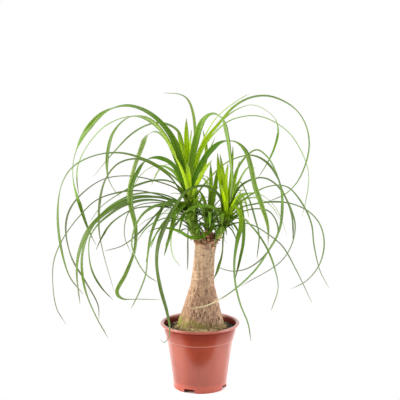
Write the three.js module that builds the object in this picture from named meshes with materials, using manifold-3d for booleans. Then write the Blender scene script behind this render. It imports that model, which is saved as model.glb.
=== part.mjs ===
// Potted ponytail palm: a swollen trunk with three leafy heads, rooted in soil in a plastic nursery pot.
// Millimetres, +Z up. The origin is on the pot's axis at floor level. The front view looks along +Y.

import * as THREE from 'three';
import { mergeVertices } from 'three/addons/utils/BufferGeometryUtils.js';
import Module from 'manifold-3d';

const wasm = await Module();
wasm.setup();
const { degToRad, radToDeg, clamp, lerp } = THREE.MathUtils;

// Clearance between pieces that touch on the real plant, and the little more that flat facets need
const GAP = 0.3;
const CHORD = 0.1;

// Pot: a 17 cm nursery pot with a rolled lip, a moulded ledge, a notched foot and a pad under its centre
const POT = {
  rimRadius: 85,
  height: 142,
  lipHeight: 5.5,
  lipRound: 1.6,
  wall: 1.8,
  neckRadius: 78,
  ledgeHeight: 107,
  ledgeStep: 1.4,
  ledgeRadius: 73,
  footRadius: 58,
  footRise: 9,
  footSlope: 3,
  footWidth: 3.2,
  footRound: 1.5,
  floorCorner: 2,
  padRadius: 16,
  notches: 4,
  notchWidth: 25,
  notchHeight: 8.2,
  notchDepth: 12.8,
  notchTurn: 66.5,
  sides: 44,
};

// Soil: fills the pot to this level at the wall, with this room to the wall, and is mounded against the trunk
const SOIL = {
  wallLevel: 128,
  slopeLift: 2.5,
  moundLevel: 134.5,
  moundWidth: 2,
  wallRoom: 0.7,
  corner: 3,
  sides: 40,
};

// Trunk: height, radius, and how far its centre lies to the right of the pot's axis
const TRUNK_SIDES = 24;
const SWELL = { neck: 222, lobes: 3, lobeHeight: 0.02, lobeTurn: 0.9, least: 0.25, ribs: 5, ribHeight: 0.012,
  climb: 31 };
const TRUNK_SINK = 7;
const TRUNK = [
  [134, 48.6, 0.2], [145, 47.4, 0.9], [157, 44.2, 1.9], [173, 39.2, 2.9], [189, 35.2, 3.8], [206, 30, 4.2],
  [222, 25.8, 4.8], [240, 23.8, 5.8], [258, 22.9, 7], [277, 22.3, 8.7], [298, 22, 10.5], [311, 23.2, 12.6],
  [320, 25, 14.6], [327, 23.6, 15], [331, 15, 15],
];

// Stubs of old leaves round the trunk's flared top: rooted this deep in it and leaning out from upright
const HUSKS = { count: 13, level: 316, spread: 4, depth: 3, length: [10.2, 20.4], width: 8.5, lean: [17, 51],
  tipLean: 4, twist: [0, 20], jitter: 0.5, seed: 17 };

// Heads: each stem is a list of height, radius, and centre to the right and to the back
const HEADS = {
  left: [
    [318, 8.5, -1, -5], [332, 10.5, -8.5, -6], [346, 11.5, -14.5, -6], [362, 11.5, -16, -6],
    [380, 11, -17.5, -6], [398, 10, -19.5, -6], [414, 8, -21, -6], [428, 3, -21.5, -6],
  ],
  right: [
    [318, 7.5, 31, -3], [332, 8, 39, -4], [346, 9, 47, -4], [358, 9.5, 52, -4],
    [370, 9, 55, -4], [382, 7, 56.5, -4], [394, 2.5, 57, -4],
  ],
  centre: [
    [318, 6, 16, 11], [332, 6.5, 17, 13], [348, 7, 18, 15], [364, 6.5, 19, 16], [378, 4.5, 20, 17],
    [388, 2, 20.5, 17],
  ],
};
const STEM_SIDES = 12;

// How far off a stem's axis the leaves root, as a share of its radius
const ROOT_SHARE = 0.6;

// Front view in which the leaves are read: a square of 400 units a side, seen from this eye point
const VIEW = { distance: 2100, height: 720, pitch: degToRad(8.5), focal: 1006, middle: 200 };
const EYE = new THREE.Vector3(0, -VIEW.distance, VIEW.height);

// Leaves as they run in the front view, from root to tip. Each row holds the leaf's name, the azimuth of the
// upright plane that it arches in, its width in millimetres, how much of the width shows there at even
// stations, and its points there. Below zero it is the underside that shows. A last number is how far the tip
// drifts to the front.
const LEAVES = {
  left: [
    ["L1", 172, 13, [5.5, 6, 5.2, 4.2, 1.8, 3.6, 2.6, 0.5, 2.4, 3.2, 1.2], [190, 192, 184, 175, 174.5,
      142, 153, 116, 129, 106, 107, 111, 88, 129, 75, 155, 73, 176, 79, 202, 89, 231, 96, 245]],
    ["L2", 161, 8, [3.4, 3.4, -3, -2.8, -2.2, 0.8, 0.9, 0.8, 0.8, 1.2, 1], [189, 193, 183, 176, 169.5,
      143, 152, 121, 134, 116, 107, 125, 88, 145, 78, 166, 77, 181, 79, 196]],
    ["L3", 146, 10.5, [3.5, 3.2, 3, -2.6, -2.2, 0.5, 0.8, 2.1, 2.6, 1, 0.5], [189, 194, 180, 170, 163,
      134, 146, 120, 130, 117, 114, 132, 108, 152, 108, 176, 113, 188, 120, 197]],
    ["L4", 138, 7, [3, 2.8, 2.4, 2, 1.2, 1, 1.1, 1.1, 0.9, 0.5, 0.4], [190, 193, 186, 168, 183.5, 149,
      178, 131.5, 162, 123, 148, 125, 132, 134, 115, 151, 93, 177]],
    ["L5", 128, 12, [4.8, 4.8, 4.5, 3.8, 2.4, 0.7, -4.4, -4, -3.6, -2.6, -1], [188.5, 192, 180, 169, 168,
      142, 156, 132, 147, 136, 141, 150, 133, 172, 126, 198]],
    ["L6", 184, 9, [3, 1.4, 2, 1.8, 1, 1.2, 0.6, 2, 2, 1.2, 0.8], [192, 206, 183, 187, 164, 170, 143, 159,
      119, 153, 94, 156, 73, 167, 62, 184, 58, 212, 61, 246, 70, 277, 83, 294]],
    ["L7", 216, 11, [3.5, 3.8, 3.4, -3, -4.4, -4, -2.4, 1.8, 3.2, 0.9, 0.6], [189, 193, 182.5, 181, 172,
      164.5, 160, 158.5, 147, 160, 138, 172, 131, 188, 131, 205, 136, 228, 135, 250, 126, 274, 117, 292,
      122, 298, 140, 299, 160, 299.5]],
    ["L8", 152, 7, [2.5, 1.2, 2.3, 1.6, 1.5, 1.3, 2.4, 1.6, 0.8, 0.6, 0.4], [192, 205, 170, 177, 150, 163,
      135, 159, 118, 164, 107, 177, 101, 195, 99, 225, 102, 247, 114, 291]],
    ["L9", 166, 8, [2, 1, 1, 0.8, 0.8, 1.4, 1.7, 1.1, 1.5, 1.2, 0.8], [192, 208, 179, 191, 155, 181, 126,
      176, 102, 180, 80, 196, 69, 212, 66, 231, 72, 258, 86, 282, 98, 305, 99, 319]],
    ["L10", 200, 6, [2, 1.5, 1, 1.4, 1.5, 1.8, 1.5, 0.8, 0.7, 0.6, 0.5], [191, 204, 180, 188, 168, 181,
      152, 181, 133, 187, 116, 196, 100, 208, 90, 222]],
    ["L11", 177, 7, [2, 1, 1, 1.4, 1, 0.9, 0.9, 0.9, 0.7, 0.8, 0.6], [190, 210, 172, 200, 155, 194, 140,
      191, 122, 192, 97, 200, 79, 217, 63, 239, 54, 261, 53, 285, 57, 309, 66, 324]],
    ["L12", 206, 11, [2.5, 2, 1.8, 3, 3.6, 3.6, 3.2, 2.6, 2, 1.2, 0.8], [190, 212, 169, 200, 151, 197,
      135, 198, 120, 204, 104, 214, 88, 231, 79, 254, 77, 273, 80, 304]],
    ["L13", 195, 8, [2, 1.2, 1.3, 1.5, 1.5, 2, 2, 2.3, 1.2, 1, 0.9], [190, 209, 170, 197, 151, 193, 133,
      195, 119, 201, 106, 210, 93, 226, 85, 243, 82, 262, 85, 288, 95, 314, 108, 338]],
    ["L14", 214, 7, [2, 1.4, 1.4, 2, 2.4, 2, 1, 0.8, 1.5, 1.6, 0.6], [190, 214, 168, 203, 150, 200, 135,
      202, 121, 207, 108, 216, 97, 226, 90, 238, 89, 252, 92, 270, 101, 287, 113, 300]],
    ["L15", 222, 7, [2, 1.2, 1.2, 1.3, 1.2, 1, 1, 1.1, 1.4, 1.8, 1], [190, 216, 170, 208, 146, 207, 134,
      209, 121, 216, 110, 225, 101, 239, 96, 250]],
    ["L16", 142, 5, [1.5, 1, 0.9, 0.9, 0.8, 0.4], [190, 215, 168, 204, 150, 203, 137, 206, 129, 212, 125,
      224, 125, 238, 132, 255]],
    ["L17", 233, 9, [2.5, 1.5, 1.8, 2.2, 2.3, 1.6, 1.3, 1, 1, 0.9, 0.6], [190, 216, 173, 206, 160, 205,
      150, 209, 141, 217, 134, 231, 132, 244, 136, 258, 146, 274, 157, 282]],
    ["L18", 226, 6, [1.5, 1.2, 1.4, 1.3, 0.8, 0.5], [190, 214, 176, 207, 165, 207, 155, 216, 146, 226,
      136, 236, 122, 246, 105, 251]],
    ["L19", 226, 10, [2.5, 2.4, 2.6, 2.8, 2.5, 2, 1.6, 1.1, 1.2, 1, 0.6], [191, 211, 177, 202, 166, 204,
      158, 217, 151, 236, 148, 255, 146, 274, 140, 291, 131, 309]],
    ["L20", 229, 9, [3, 3.2, 3.2, 2.8, 2, 1], [192, 208, 184, 203, 177, 209, 173, 222, 170, 236, 164,
      256]],
    ["L21", 120, 5, [1.5, 1.5, 1.6, 1.5, 0.8, 0.5], [192, 222, 180, 220, 173, 230, 171, 244, 173, 256,
      180, 266]],
    ["L22", 236, 5, [1.2, 0.9, 1.1, 1.2, 1, 0.6], [193, 218, 190, 217, 188.5, 226, 188, 242, 188, 256,
      187.5, 270]],
    ["L23", 200, 6, [1.5, 1.5, 1.6, 1.8, 1.5], [192, 226, 181, 220, 168, 222, 158, 232, 150, 246, 146,
      262]],
    ["L24", 196, 12, [5, 5, 4.6, 4.4, 4.2, 2.4], [190, 192, 188.5, 171, 186.8, 154, 186.4, 137, 186.3,
      118]],
    ["L25", 150, 8, [3.5, 3.5, 3.2, 3, 2.4, 1.8, 1.4, 1, 0.8, 0.5, 0.4], [190.5, 192, 192.5, 163, 195,
      137, 192.5, 112, 187.5, 99.5, 180, 94.5, 163, 93]],
    ["L26", 66, 9, [4, 4, 3.8, 3.4, 2.6, 1.5], [196, 196, 203, 170, 206.5, 150, 203, 130]],
    ["L27", 284, 8, [3.4, 3.2, 3, 2.4, 1.6, 0.8], [190, 192, 189.5, 172, 190, 154, 190.5, 142, 191.5,
      130]],
    ["L28", 8, 8, [3.2, 3.6, 3, 2.2, 1.6, 1.6, 0.9, 1.3, 1.3, 0.9, 0.7], [191.5, 192, 194.5, 168, 200,
      150, 208, 137, 218, 125, 234, 107, 250, 98, 267, 96, 283, 101, 297, 111, 306, 126, 309, 144, 306,
      162, 297, 182, 285, 194, 267, 202]],
    ["L29", 20, 5, [2.2, 2, 1.6, 1.2, 0.9, 0.9, 0.8, 0.8, 0.6, 0.7, 0.5], [192, 194, 197, 164, 206, 144,
      226, 123, 244, 116.5, 260, 116.5, 276, 123, 290, 134, 301, 151, 308, 170, 308, 188, 302, 217]],
    ["L30", 316, 14, [6, 6, 6, 5.6, 5, 1.2, -3.2, -3, -2.4, -2, -1.6], [190.5, 192, 190.5, 172, 196, 140,
      203, 121.5, 213, 114.2, 221.5, 118.5, 227, 137, 230, 159, 232, 180, 230, 203]],
    ["L31", 330, 12, [4.5, 4.8, 4.8, 4.4, -0.5, -3.4, -4.1, -4.2, -3.7, -2.4, -0.6], [191, 193, 195.5,
      176, 202, 163, 211, 150.5, 223, 142, 235, 142, 245, 151, 250, 165, 255, 187, 262, 206, 268, 227,
      268, 246]],
    ["L32", 42, 7, [2.8, 2.6, 2.2, 1.8, 1.5, 0.8, 0.4, 0.5, 1.3, 1.7, 0.8], [192, 193, 195, 170, 203, 147,
      222, 121, 238, 109, 252, 105, 267, 111, 276, 121, 278, 132, 275, 146, 269, 160, 258, 178]],
    ["L33", 52, 5, [2, 1.5, 1.2, 0.8, 0.8, 0.5], [191.5, 192, 196, 162, 203, 141, 216, 118.5, 240, 99,
      249, 94]],
    ["L35", 318, 7, [3, 3, 2.5, 2], [191, 201, 195, 200, 199, 204, 203, 212, 204.5, 219]],
    ["L34", 349, 6, [2, 1.4, 1.1, 1.2, 2, 1, 1.5, 0.9, 0.8, 0.7, 0.6], [195, 202, 201, 189, 211, 177, 222,
      166, 234, 159, 252, 155.5, 266, 162, 276, 175, 283, 192, 291, 210, 295, 226, 291, 246, 280, 262,
      241, 286]],
  ],
  right: [
    ["R1", 338, 9, [3, 1.9, 1.9, 1.3, 1.2, 2.6, 1.5, 1.6, 1.3, 0.9, 0.9], [228, 222, 231, 198, 236, 173,
      246, 157, 257, 150, 268, 158, 276, 173, 281, 190, 282, 207, 279, 230, 269, 249, 254, 271, 228, 294,
      205, 306, 190, 308.5], 100],
    ["R2", 14, 7, [2.5, 2, 1.8, 1.8, 1.3, 1.4, 1.4, 1.6, 1.4, 1.4, 1], [229, 222, 233, 200, 240, 187, 251,
      180, 263, 178, 274, 183, 284, 195, 291, 213, 293, 228, 293, 243]],
    ["R3", 356, 6, [1.8, 1.2, 1.2, 0.9, 1.1, 1.4, 1.4, 1.2, 1, 0.7, 0.5], [228, 218, 239, 204, 254, 193,
      271, 186, 287, 187, 301, 202, 311, 223, 314, 246, 320, 271, 329, 288]],
    ["R4", 343, 7, [2, 1.2, 1.3, 1.5, 1, 1, 1.1, 1.3, 0.9, 0.8, 0.5], [228, 221, 241, 208, 256, 204, 273,
      202, 292, 204, 309, 212, 320, 225, 324, 244, 319, 265, 306, 281, 291, 289]],
    ["R5", 34, 6, [1.8, 1.2, 1.1, 1.2, 1.3, 1.7, 1.4, 1.2, 1, 0.7, 0.6], [229, 223, 240, 213, 256, 209,
      268, 211, 275, 219, 278, 232, 272, 245, 262, 258, 248, 268, 232, 271, 217, 267]],
    ["R6", 330, 7, [1.6, 0.8, 0.9, 1.1, 0.7, 0.5], [226, 228, 237, 223, 252, 225, 266, 233, 282, 246, 296,
      270, 312, 303]],
    ["R7", 313, 8, [2, 1.1, 1.2, 1.4, 1.5, 1.6, 1.5, 0.9, 0.7, 0.8, 0.5], [228, 219, 236, 213, 245, 220,
      257, 233, 267, 249, 274, 267, 278, 287, 271, 311]],
    ["R8", 298, 9, [2.5, 3.4, 3.4, 4, 2.9, 2, 1.6, 1.5, 1.3, 1.1, 0.8], [227, 218, 234, 207, 239, 211,
      241, 225, 237, 241, 234, 262, 235, 283, 240, 304, 248, 324, 251, 341]],
    ["R9", 52, 8, [2, 2.6, 3, 2.8, 2.6, 1.6], [229, 214, 234, 200, 239, 200, 242, 213, 243.5, 228, 243,
      243, 240, 259, 235, 280]],
    ["R10", 38, 5, [1.8, 1.2, 1.3, 1.5, 1.2, 0.7], [229, 206, 236, 185, 240, 182, 245, 190, 250, 202, 255,
      219, 259, 235, 257, 258]],
    ["R11", 62, 9, [3.5, 3, 3, 1.8, 1.4, 0.8], [228, 220, 234, 194, 241, 178, 248, 168, 255, 168]],
    ["R12", 211, 11, [3, 2.5, 2, 2.4, 3.6, 3.6, 2.5, 2.4, 2.5, 3, 0.8], [225, 214, 219, 196, 207, 187,
      196, 187, 185, 193, 176, 206, 167, 222, 159, 243, 157, 262, 161, 289, 167, 311, 170, 329, 168, 339,
      163, 343, 160.5, 339]],
    ["R13", 205, 8, [2, 2.6, 3, 2.6, 1.2, 0.4], [224, 226, 216, 226, 208, 233, 200, 237.5, 190, 237.5,
      178, 231, 160, 228, 148, 232]],
    ["R14", 160, 11, [4.5, 4.5, 4, 4, 3.6, 2], [226, 222, 223, 200, 219.5, 175, 217.5, 153]],
    ["R15", 118, 9, [4, 4, 3.6, 3.4, 3, 1.5], [226.5, 221, 225.5, 195, 222.5, 170, 220, 154]],
    ["R16", 280, 10, [4.6, 4.6, 4, 3, 2.2, 1.4], [226.5, 222, 226.2, 201, 226.4, 181, 228, 163]],
    ["R17", 40, 9, [4, 3.8, 3.4, 2.6, 2, 1.4], [227, 222, 229.5, 195, 232, 170, 233, 146]],
    ["R18", 62, 8, [3.6, 3.4, 3, 2.6, 2.2, 1.5], [228, 221, 232, 195, 236.5, 174, 239.5, 161]],
    ["R19", 236, 8, [1.8, 1.5, 1.5, 1.2, 1.5, 2.3, 2.4, 1.4], [226, 226, 224, 231, 223.2, 240, 222.8, 250,
      221.5, 258, 219, 266, 216.5, 273, 213.8, 279]],
    ["R20", 212, 9, [3, 3, 3, 2.6, 2.4, 1.5], [228, 222, 219, 212, 211, 207, 203, 206, 195, 207, 183,
      213]],
  ],
  centre: [
    ["C1", 320, 8, [3.6, 3.4, 3, 2.4], [209, 216, 210, 206, 212, 196, 216, 186]],
    ["C2", 150, 7, [3, 3, 2.4, 1.6], [208, 217, 206, 207, 203, 197, 199, 190]],
    ["C3", 118, 9, [3.6, 3.4, 3.2, 2], [209, 216, 209.8, 200, 210.8, 182, 210.6, 163]],
    ["C4", 36, 10, [3.8, 3.6, 3.6, 2.2], [210, 216, 213, 202, 215.4, 187, 217, 170]],
  ],
};

// Leaves placed by rule, so that the heads are full all round. Each row holds the head, the number of leaves,
// the first and last azimuth, the heights of their roots, the lengths, the angles from upright at which they
// leave the stem and end, and the width.
const WHORLS = [
  { head: 'centre', count: 15, azimuth: [20, 660], root: [346, 380], length: [60, 140], rise: [10, 50],
    fall: [60, 150], width: 7.5 },
  { head: 'left', count: 14, azimuth: [62, 124], root: [372, 412], length: [230, 390], rise: [12, 50],
    fall: [132, 172], width: 8 },
  { head: 'left', count: 9, azimuth: [212, 318], root: [352, 408], length: [50, 112], rise: [28, 66],
    fall: [112, 158], width: 5 },
  { head: 'left', count: 8, azimuth: [0, 340], root: [402, 418], length: [90, 160], rise: [4, 22],
    fall: [14, 60], width: 9 },
  { head: 'left', count: 9, azimuth: [20, 340], root: [346, 374], length: [70, 140], rise: [30, 62],
    fall: [120, 165], width: 5.5 },
  { head: 'right', count: 10, azimuth: [52, 132], root: [354, 378], length: [180, 330], rise: [16, 54],
    fall: [130, 170], width: 7 },
  { head: 'right', count: 6, azimuth: [222, 312], root: [348, 378], length: [45, 100], rise: [30, 66],
    fall: [112, 158], width: 4.5 },
  { head: 'right', count: 6, azimuth: [10, 350], root: [370, 386], length: [60, 110], rise: [4, 22],
    fall: [14, 50], width: 8 },
  { head: 'right', count: 6, azimuth: [30, 330], root: [344, 358], length: [60, 120], rise: [35, 65],
    fall: [120, 165], width: 5.5 },
  { head: 'centre', count: 9, azimuth: [196, 344], root: [336, 374], length: [45, 112], rise: [10, 42],
    fall: [40, 135], width: 6.5 },
];

// Leaves placed by rule: where one may lie in its share of the turn, its full twist, and the range of widths
const RULE = { seed: 71, seedStep: 97, place: [0.15, 0.85], twist: 110, width: [0.85, 1.15] };

// Arch of a leaf placed by rule: the bend eases off towards the tip
const ARCH = { points: 4, steps: 6, ease: 0.65 };

// Blades: a shallow V in section, with a keel this thick below its middle
const BLADE = { thickness: 1.3, fold: 0.3, taper: 6, least: 2, bend: 34, spanSteps: 3, lengthSteps: 12 };

// A part of a traced blade that shows s wide is turned to show s times (1 + gain e^-(s / reach)^2) wide
const SHOWING = { gain: 0.6, reach: 1.3 };

// Thickness of a blade that is nearly as narrow as a thread, and how much of its width it gains
const THIN = { least: 0.6, share: 0.22 };

// Swing: a leaf that would cross another head, the trunk or the pot is turned round its stem by the first of
// these angles that clears them, sampled at this spacing and with this room between
const SWING = {
  angles: [0, 3, -3, 6, -6, 9, -9, 12, -12, 16, -16, 20, -20, 25, -25, 30, -30],
  spacing: 5,
  room: 2.2,
};

// Random numbers: each state is the one before times the factor, less whole moduli
const RANDOM = { stride: 1299709, factor: 16807, modulus: 2147483647 };


// Repeatable random numbers between 0 and 1
function randomSource(seed) {
  let state = seed * RANDOM.stride;
  return () => {
    state = (state * RANDOM.factor) % RANDOM.modulus;
    return state / RANDOM.modulus;
  };
}

// A closed three.js geometry as a solid, and back as a named mesh
function toSolid(geometry) {
  const bare = geometry.index ? geometry.toNonIndexed() : geometry.clone();
  bare.deleteAttribute('normal');
  bare.deleteAttribute('uv');
  const merged = mergeVertices(bare, 1e-4);
  return new wasm.Manifold(new wasm.Mesh({
    numProp: 3,
    vertProperties: new Float32Array(merged.attributes.position.array),
    triVerts: new Uint32Array(merged.index.array),
  }));
}

function toMesh(name, solid, color, roughness) {
  const { vertProperties, triVerts } = solid.getMesh();
  const geometry = new THREE.BufferGeometry();
  geometry.setAttribute('position', new THREE.BufferAttribute(new Float32Array(vertProperties), 3));
  geometry.setIndex(new THREE.BufferAttribute(new Uint32Array(triVerts), 1));
  geometry.computeVertexNormals();
  const mesh = new THREE.Mesh(geometry, new THREE.MeshStandardMaterial({ color, roughness, metalness: 0 }));
  mesh.name = name;
  return mesh;
}

function triangleGeometry(points, triangles) {
  const geometry = new THREE.BufferGeometry().setFromPoints(points);
  geometry.setIndex(triangles);
  return geometry;
}

// Closed solid through level rings, each with a height, radius and centre; the outline may swell by angle
function ringStack(rings, sides, swell = () => 1) {
  const points = [];
  for (const [z, radius, x = 0, y = 0] of rings) {
    for (let side = 0; side < sides; side += 1) {
      const angle = (side / sides) * 2 * Math.PI;
      const r = radius * swell(angle, z);
      points.push(new THREE.Vector3(x + r * Math.cos(angle), y + r * Math.sin(angle), z));
    }
  }
  const triangles = [];
  for (let ring = 0; ring < rings.length - 1; ring += 1) {
    for (let side = 0; side < sides; side += 1) {
      const low = ring * sides + side;
      const lowNext = ring * sides + (side + 1) % sides;
      triangles.push(low, lowNext, lowNext + sides, low, lowNext + sides, low + sides);
    }
  }
  const last = (rings.length - 1) * sides;
  const [firstZ, , firstX = 0, firstY = 0] = rings[0];
  const [lastZ, , lastX = 0, lastY = 0] = rings[rings.length - 1];
  points.push(new THREE.Vector3(firstX, firstY, firstZ), new THREE.Vector3(lastX, lastY, lastZ));
  for (let side = 0; side < sides; side += 1) {
    const next = (side + 1) % sides;
    triangles.push(points.length - 2, next, side);
    triangles.push(points.length - 1, last + side, last + next);
  }
  return triangleGeometry(points, triangles);
}

// Surface of revolution about Z from points of radius and height
function lathe(outline, sides) {
  const profile = outline.map(([radius, z]) => new THREE.Vector2(radius, z));
  return new THREE.LatheGeometry(profile, sides).rotateX(Math.PI / 2);
}

// Value of a column of a table of rings at a height
function alongRings(rings, z, column) {
  const next = clamp(rings.findIndex((ring) => ring[0] > z), 1, rings.length - 1);
  const upper = z >= rings[rings.length - 1][0] ? rings.length - 1 : next;
  const [low, high] = [rings[upper - 1], rings[upper]];
  const share = clamp((z - low[0]) / (high[0] - low[0]), 0, 1);
  return lerp(low[column] ?? 0, high[column] ?? 0, share);
}

// Point of a stem at a height, a share of its radius off its axis towards an azimuth in degrees
function stemPoint(head, z, azimuth = 0, share = 0) {
  const off = alongRings(HEADS[head], z, 1) * share;
  return new THREE.Vector3(
    alongRings(HEADS[head], z, 2) + off * Math.cos(degToRad(azimuth)),
    alongRings(HEADS[head], z, 3) + off * Math.sin(degToRad(azimuth)),
    z,
  );
}

// Pot

function potInnerRadius(z) {
  const { footRadius, footRise, ledgeRadius, ledgeHeight, ledgeStep, neckRadius, height, wall } = POT;
  if (z <= ledgeHeight) {
    return lerp(footRadius, ledgeRadius - ledgeStep, (z - footRise) / (ledgeHeight - footRise)) - wall;
  }
  return lerp(ledgeRadius, neckRadius, (z - ledgeHeight) / (height - ledgeHeight)) - wall;
}

function potOutline() {
  const { rimRadius, height, lipHeight, lipRound, neckRadius, ledgeHeight, ledgeStep, ledgeRadius } = POT;
  const { wall, footRadius, footRise, footSlope, footWidth, footRound, floorCorner, padRadius } = POT;
  const lipBottom = height - lipHeight;
  const floor = footRise + wall;
  return [
    [0, 0], [padRadius, 0], [padRadius + footSlope, footRise], [footRadius - footWidth - footSlope, footRise],
    [footRadius - footWidth, 0], [footRadius - footRound, 0], [footRadius, footRound], [footRadius, footRise],
    [ledgeRadius - ledgeStep, ledgeHeight - ledgeStep], [ledgeRadius, ledgeHeight],
    [neckRadius, lipBottom - lipRound], [neckRadius + lipRound, lipBottom],
    [rimRadius - lipRound / 2, lipBottom + lipRound / 2], [rimRadius, lipBottom + lipRound * 1.5],
    [rimRadius, height - lipRound], [rimRadius - lipRound, height], [neckRadius + lipRound, height],
    [neckRadius - wall / 2, height - lipRound],
    [potInnerRadius(ledgeHeight + ledgeStep), ledgeHeight + ledgeStep],
    [potInnerRadius(ledgeHeight - ledgeStep), ledgeHeight - ledgeStep],
    [potInnerRadius(floor + floorCorner), floor + floorCorner],
    [potInnerRadius(floor) - floorCorner, floor],
    [padRadius + wall, floor], [padRadius - wall, wall], [0, wall],
  ];
}

function makePot() {
  let pot = toSolid(lathe(potOutline(), POT.sides));
  for (let index = 0; index < POT.notches; index += 1) {
    const block = new THREE.BoxGeometry(POT.notchDepth, POT.notchWidth, POT.notchHeight * 2);
    block.translate(POT.footRadius, 0, 0);
    block.rotateZ(degToRad(POT.notchTurn + index * 360 / POT.notches));
    pot = pot.subtract(toSolid(block));
  }
  return pot;
}

// Soil

function makeSoil() {
  const { wallLevel, slopeLift, moundLevel, moundWidth, wallRoom, corner, sides } = SOIL;
  const mound = TRUNK[0][1];
  const floor = POT.footRise + POT.wall + GAP;
  const ledge = [POT.ledgeHeight - 2 * POT.ledgeStep, POT.ledgeHeight + 2 * POT.ledgeStep];
  const reach = (z) => potInnerRadius(z) - wallRoom;
  const soil = toSolid(lathe([
    [0, POT.wall + GAP], [POT.padRadius - POT.wall - wallRoom, POT.wall + GAP],
    [POT.padRadius + POT.wall - wallRoom, floor], [reach(floor) - corner, floor],
    [reach(floor + corner), floor + corner],
    ...ledge.map((z) => [reach(z), z]),
    [reach(wallLevel), wallLevel], [(reach(wallLevel) + mound) / 2, wallLevel + slopeLift],
    [mound + moundWidth, moundLevel], [0, moundLevel],
  ], sides));
  return soil.subtract(toSolid(trunkStack(GAP)));
}

// Leaves

// Point of the front view, carried to the upright plane at an azimuth that lies this far before an anchor
function seenPoint(u, v, anchor, azimuth, before = 0) {
  const right = (u - VIEW.middle) / VIEW.focal;
  const down = (v - VIEW.middle) / VIEW.focal;
  const ray = new THREE.Vector3(
    right,
    Math.cos(VIEW.pitch) - down * Math.sin(VIEW.pitch),
    -Math.sin(VIEW.pitch) - down * Math.cos(VIEW.pitch),
  );
  const normal = new THREE.Vector3(-Math.sin(azimuth), Math.cos(azimuth), 0);
  const offset = -before * Math.sign(normal.y);
  const reach = (normal.dot(anchor.clone().sub(EYE)) + offset) / normal.dot(ray);
  return EYE.clone().addScaledVector(ray, reach);
}

// Root of a traced leaf: inside the stem, as high as the leaf's first point
function tracedRoot(head, azimuth, [u, v]) {
  const guess = stemPoint(head, HEADS[head][2][0]);
  return stemPoint(head, seenPoint(u, v, guess, 0).z, azimuth, ROOT_SHARE);
}

function tracedKnots(root, seen, azimuth, drift) {
  const knots = [root];
  for (let index = 2; index < seen.length; index += 2) {
    const before = drift * Math.pow(index / (seen.length - 2), 3);
    knots.push(seenPoint(seen[index], seen[index + 1], root, azimuth, before));
  }
  return knots;
}

// Leaf that leaves the stem at the rise angle from upright and bends over to the fall angle at its tip
function archedKnots(root, azimuth, { length, rise, fall }) {
  const knots = [root];
  const steps = ARCH.points * ARCH.steps;
  const point = root.clone();
  for (let step = 0; step < steps; step += 1) {
    const share = (step + 0.5) / steps;
    const angle = degToRad(lerp(rise, fall, Math.pow(share, ARCH.ease)));
    const out = Math.sin(angle) * length / steps;
    const up = Math.cos(angle) * length / steps;
    point.add(new THREE.Vector3(Math.cos(azimuth) * out, Math.sin(azimuth) * out, up));
    if ((step + 1) % ARCH.steps === 0) {
      knots.push(point.clone());
    }
  }
  return knots;
}

function whorlLeaves(whorl, index) {
  const random = randomSource(RULE.seed + index * RULE.seedStep);
  const between = ([low, high]) => lerp(low, high, random());
  return Array.from({ length: whorl.count }, (_, place) => {
    const share = (place + between(RULE.place)) / whorl.count;
    const azimuth = lerp(whorl.azimuth[0], whorl.azimuth[1], share);
    return {
      name: `${whorl.head}${index}-${place}`,
      azimuth,
      root: stemPoint(whorl.head, between(whorl.root), azimuth, ROOT_SHARE),
      arch: { length: between(whorl.length), rise: between(whorl.rise), fall: between(whorl.fall) },
      width: whorl.width * between(RULE.width),
      twist: [0, (random() - 0.5) * RULE.twist],
    };
  });
}

function tracedLeaves(head) {
  return LEAVES[head].map(([name, azimuth, width, shown, seen, drift = 0]) => ({
    name, azimuth, width, shown, seen, drift, root: tracedRoot(head, azimuth, seen),
  }));
}

function knotsOf(leaf, swing) {
  const azimuth = degToRad(leaf.azimuth + swing);
  if (leaf.seen) {
    return tracedKnots(leaf.root, leaf.seen, azimuth, leaf.drift);
  }
  return archedKnots(leaf.root, azimuth, leaf.arch);
}

function widthAt(leaf, share) {
  return Math.max(leaf.width * (1 - Math.pow(share, BLADE.taper)), BLADE.least);
}

// Value at a share of the length, from values at even stations
function atStation(values, share) {
  const place = share * (values.length - 1);
  const low = Math.min(Math.floor(place), values.length - 2);
  return lerp(values[low], values[low + 1], place - low);
}

// Direction across a blade placed by rule: level, and turned about the leaf by its twist
function twistedAcross(leaf, share, tangent, level) {
  const toFront = Math.cos(degToRad(leaf.azimuth)) >= 0 ? 1 : -1;
  return level.clone().applyAxisAngle(tangent, degToRad(atStation(leaf.twist, share)) * toFront);
}

// Direction across a traced blade: square to the front view where its whole width shows, and turned away
// where less does, to the side that keeps its upper face on the outside of the arch
function shownAcross(leaf, share, tangent, level, point) {
  const away = point.clone().sub(EYE);
  away.addScaledVector(tangent, -away.dot(tangent)).normalize();
  const traced = atStation(leaf.shown, share);
  const shown = traced * (1 + SHOWING.gain * Math.exp(-((traced / SHOWING.reach) ** 2)));
  const turn = Math.acos(clamp(shown * VIEW.distance / VIEW.focal / widthAt(leaf, share), -1, 1));
  const side = away.dot(level) > 0 ? Math.sin(turn) : -Math.sin(turn);
  return tangent.clone().cross(away).multiplyScalar(Math.cos(turn)).addScaledVector(away, side);
}

function samplesAlong(leaf, knots) {
  const curve = new THREE.CatmullRomCurve3(knots, false, 'centripetal');
  const steps = Math.ceil(curve.getLength() / SWING.spacing);
  const reachAt = (step) => widthAt(leaf, step / steps) / 2;
  return curve.getSpacedPoints(steps).map((point, step) => ({ point, reach: reachAt(step) }));
}

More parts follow.
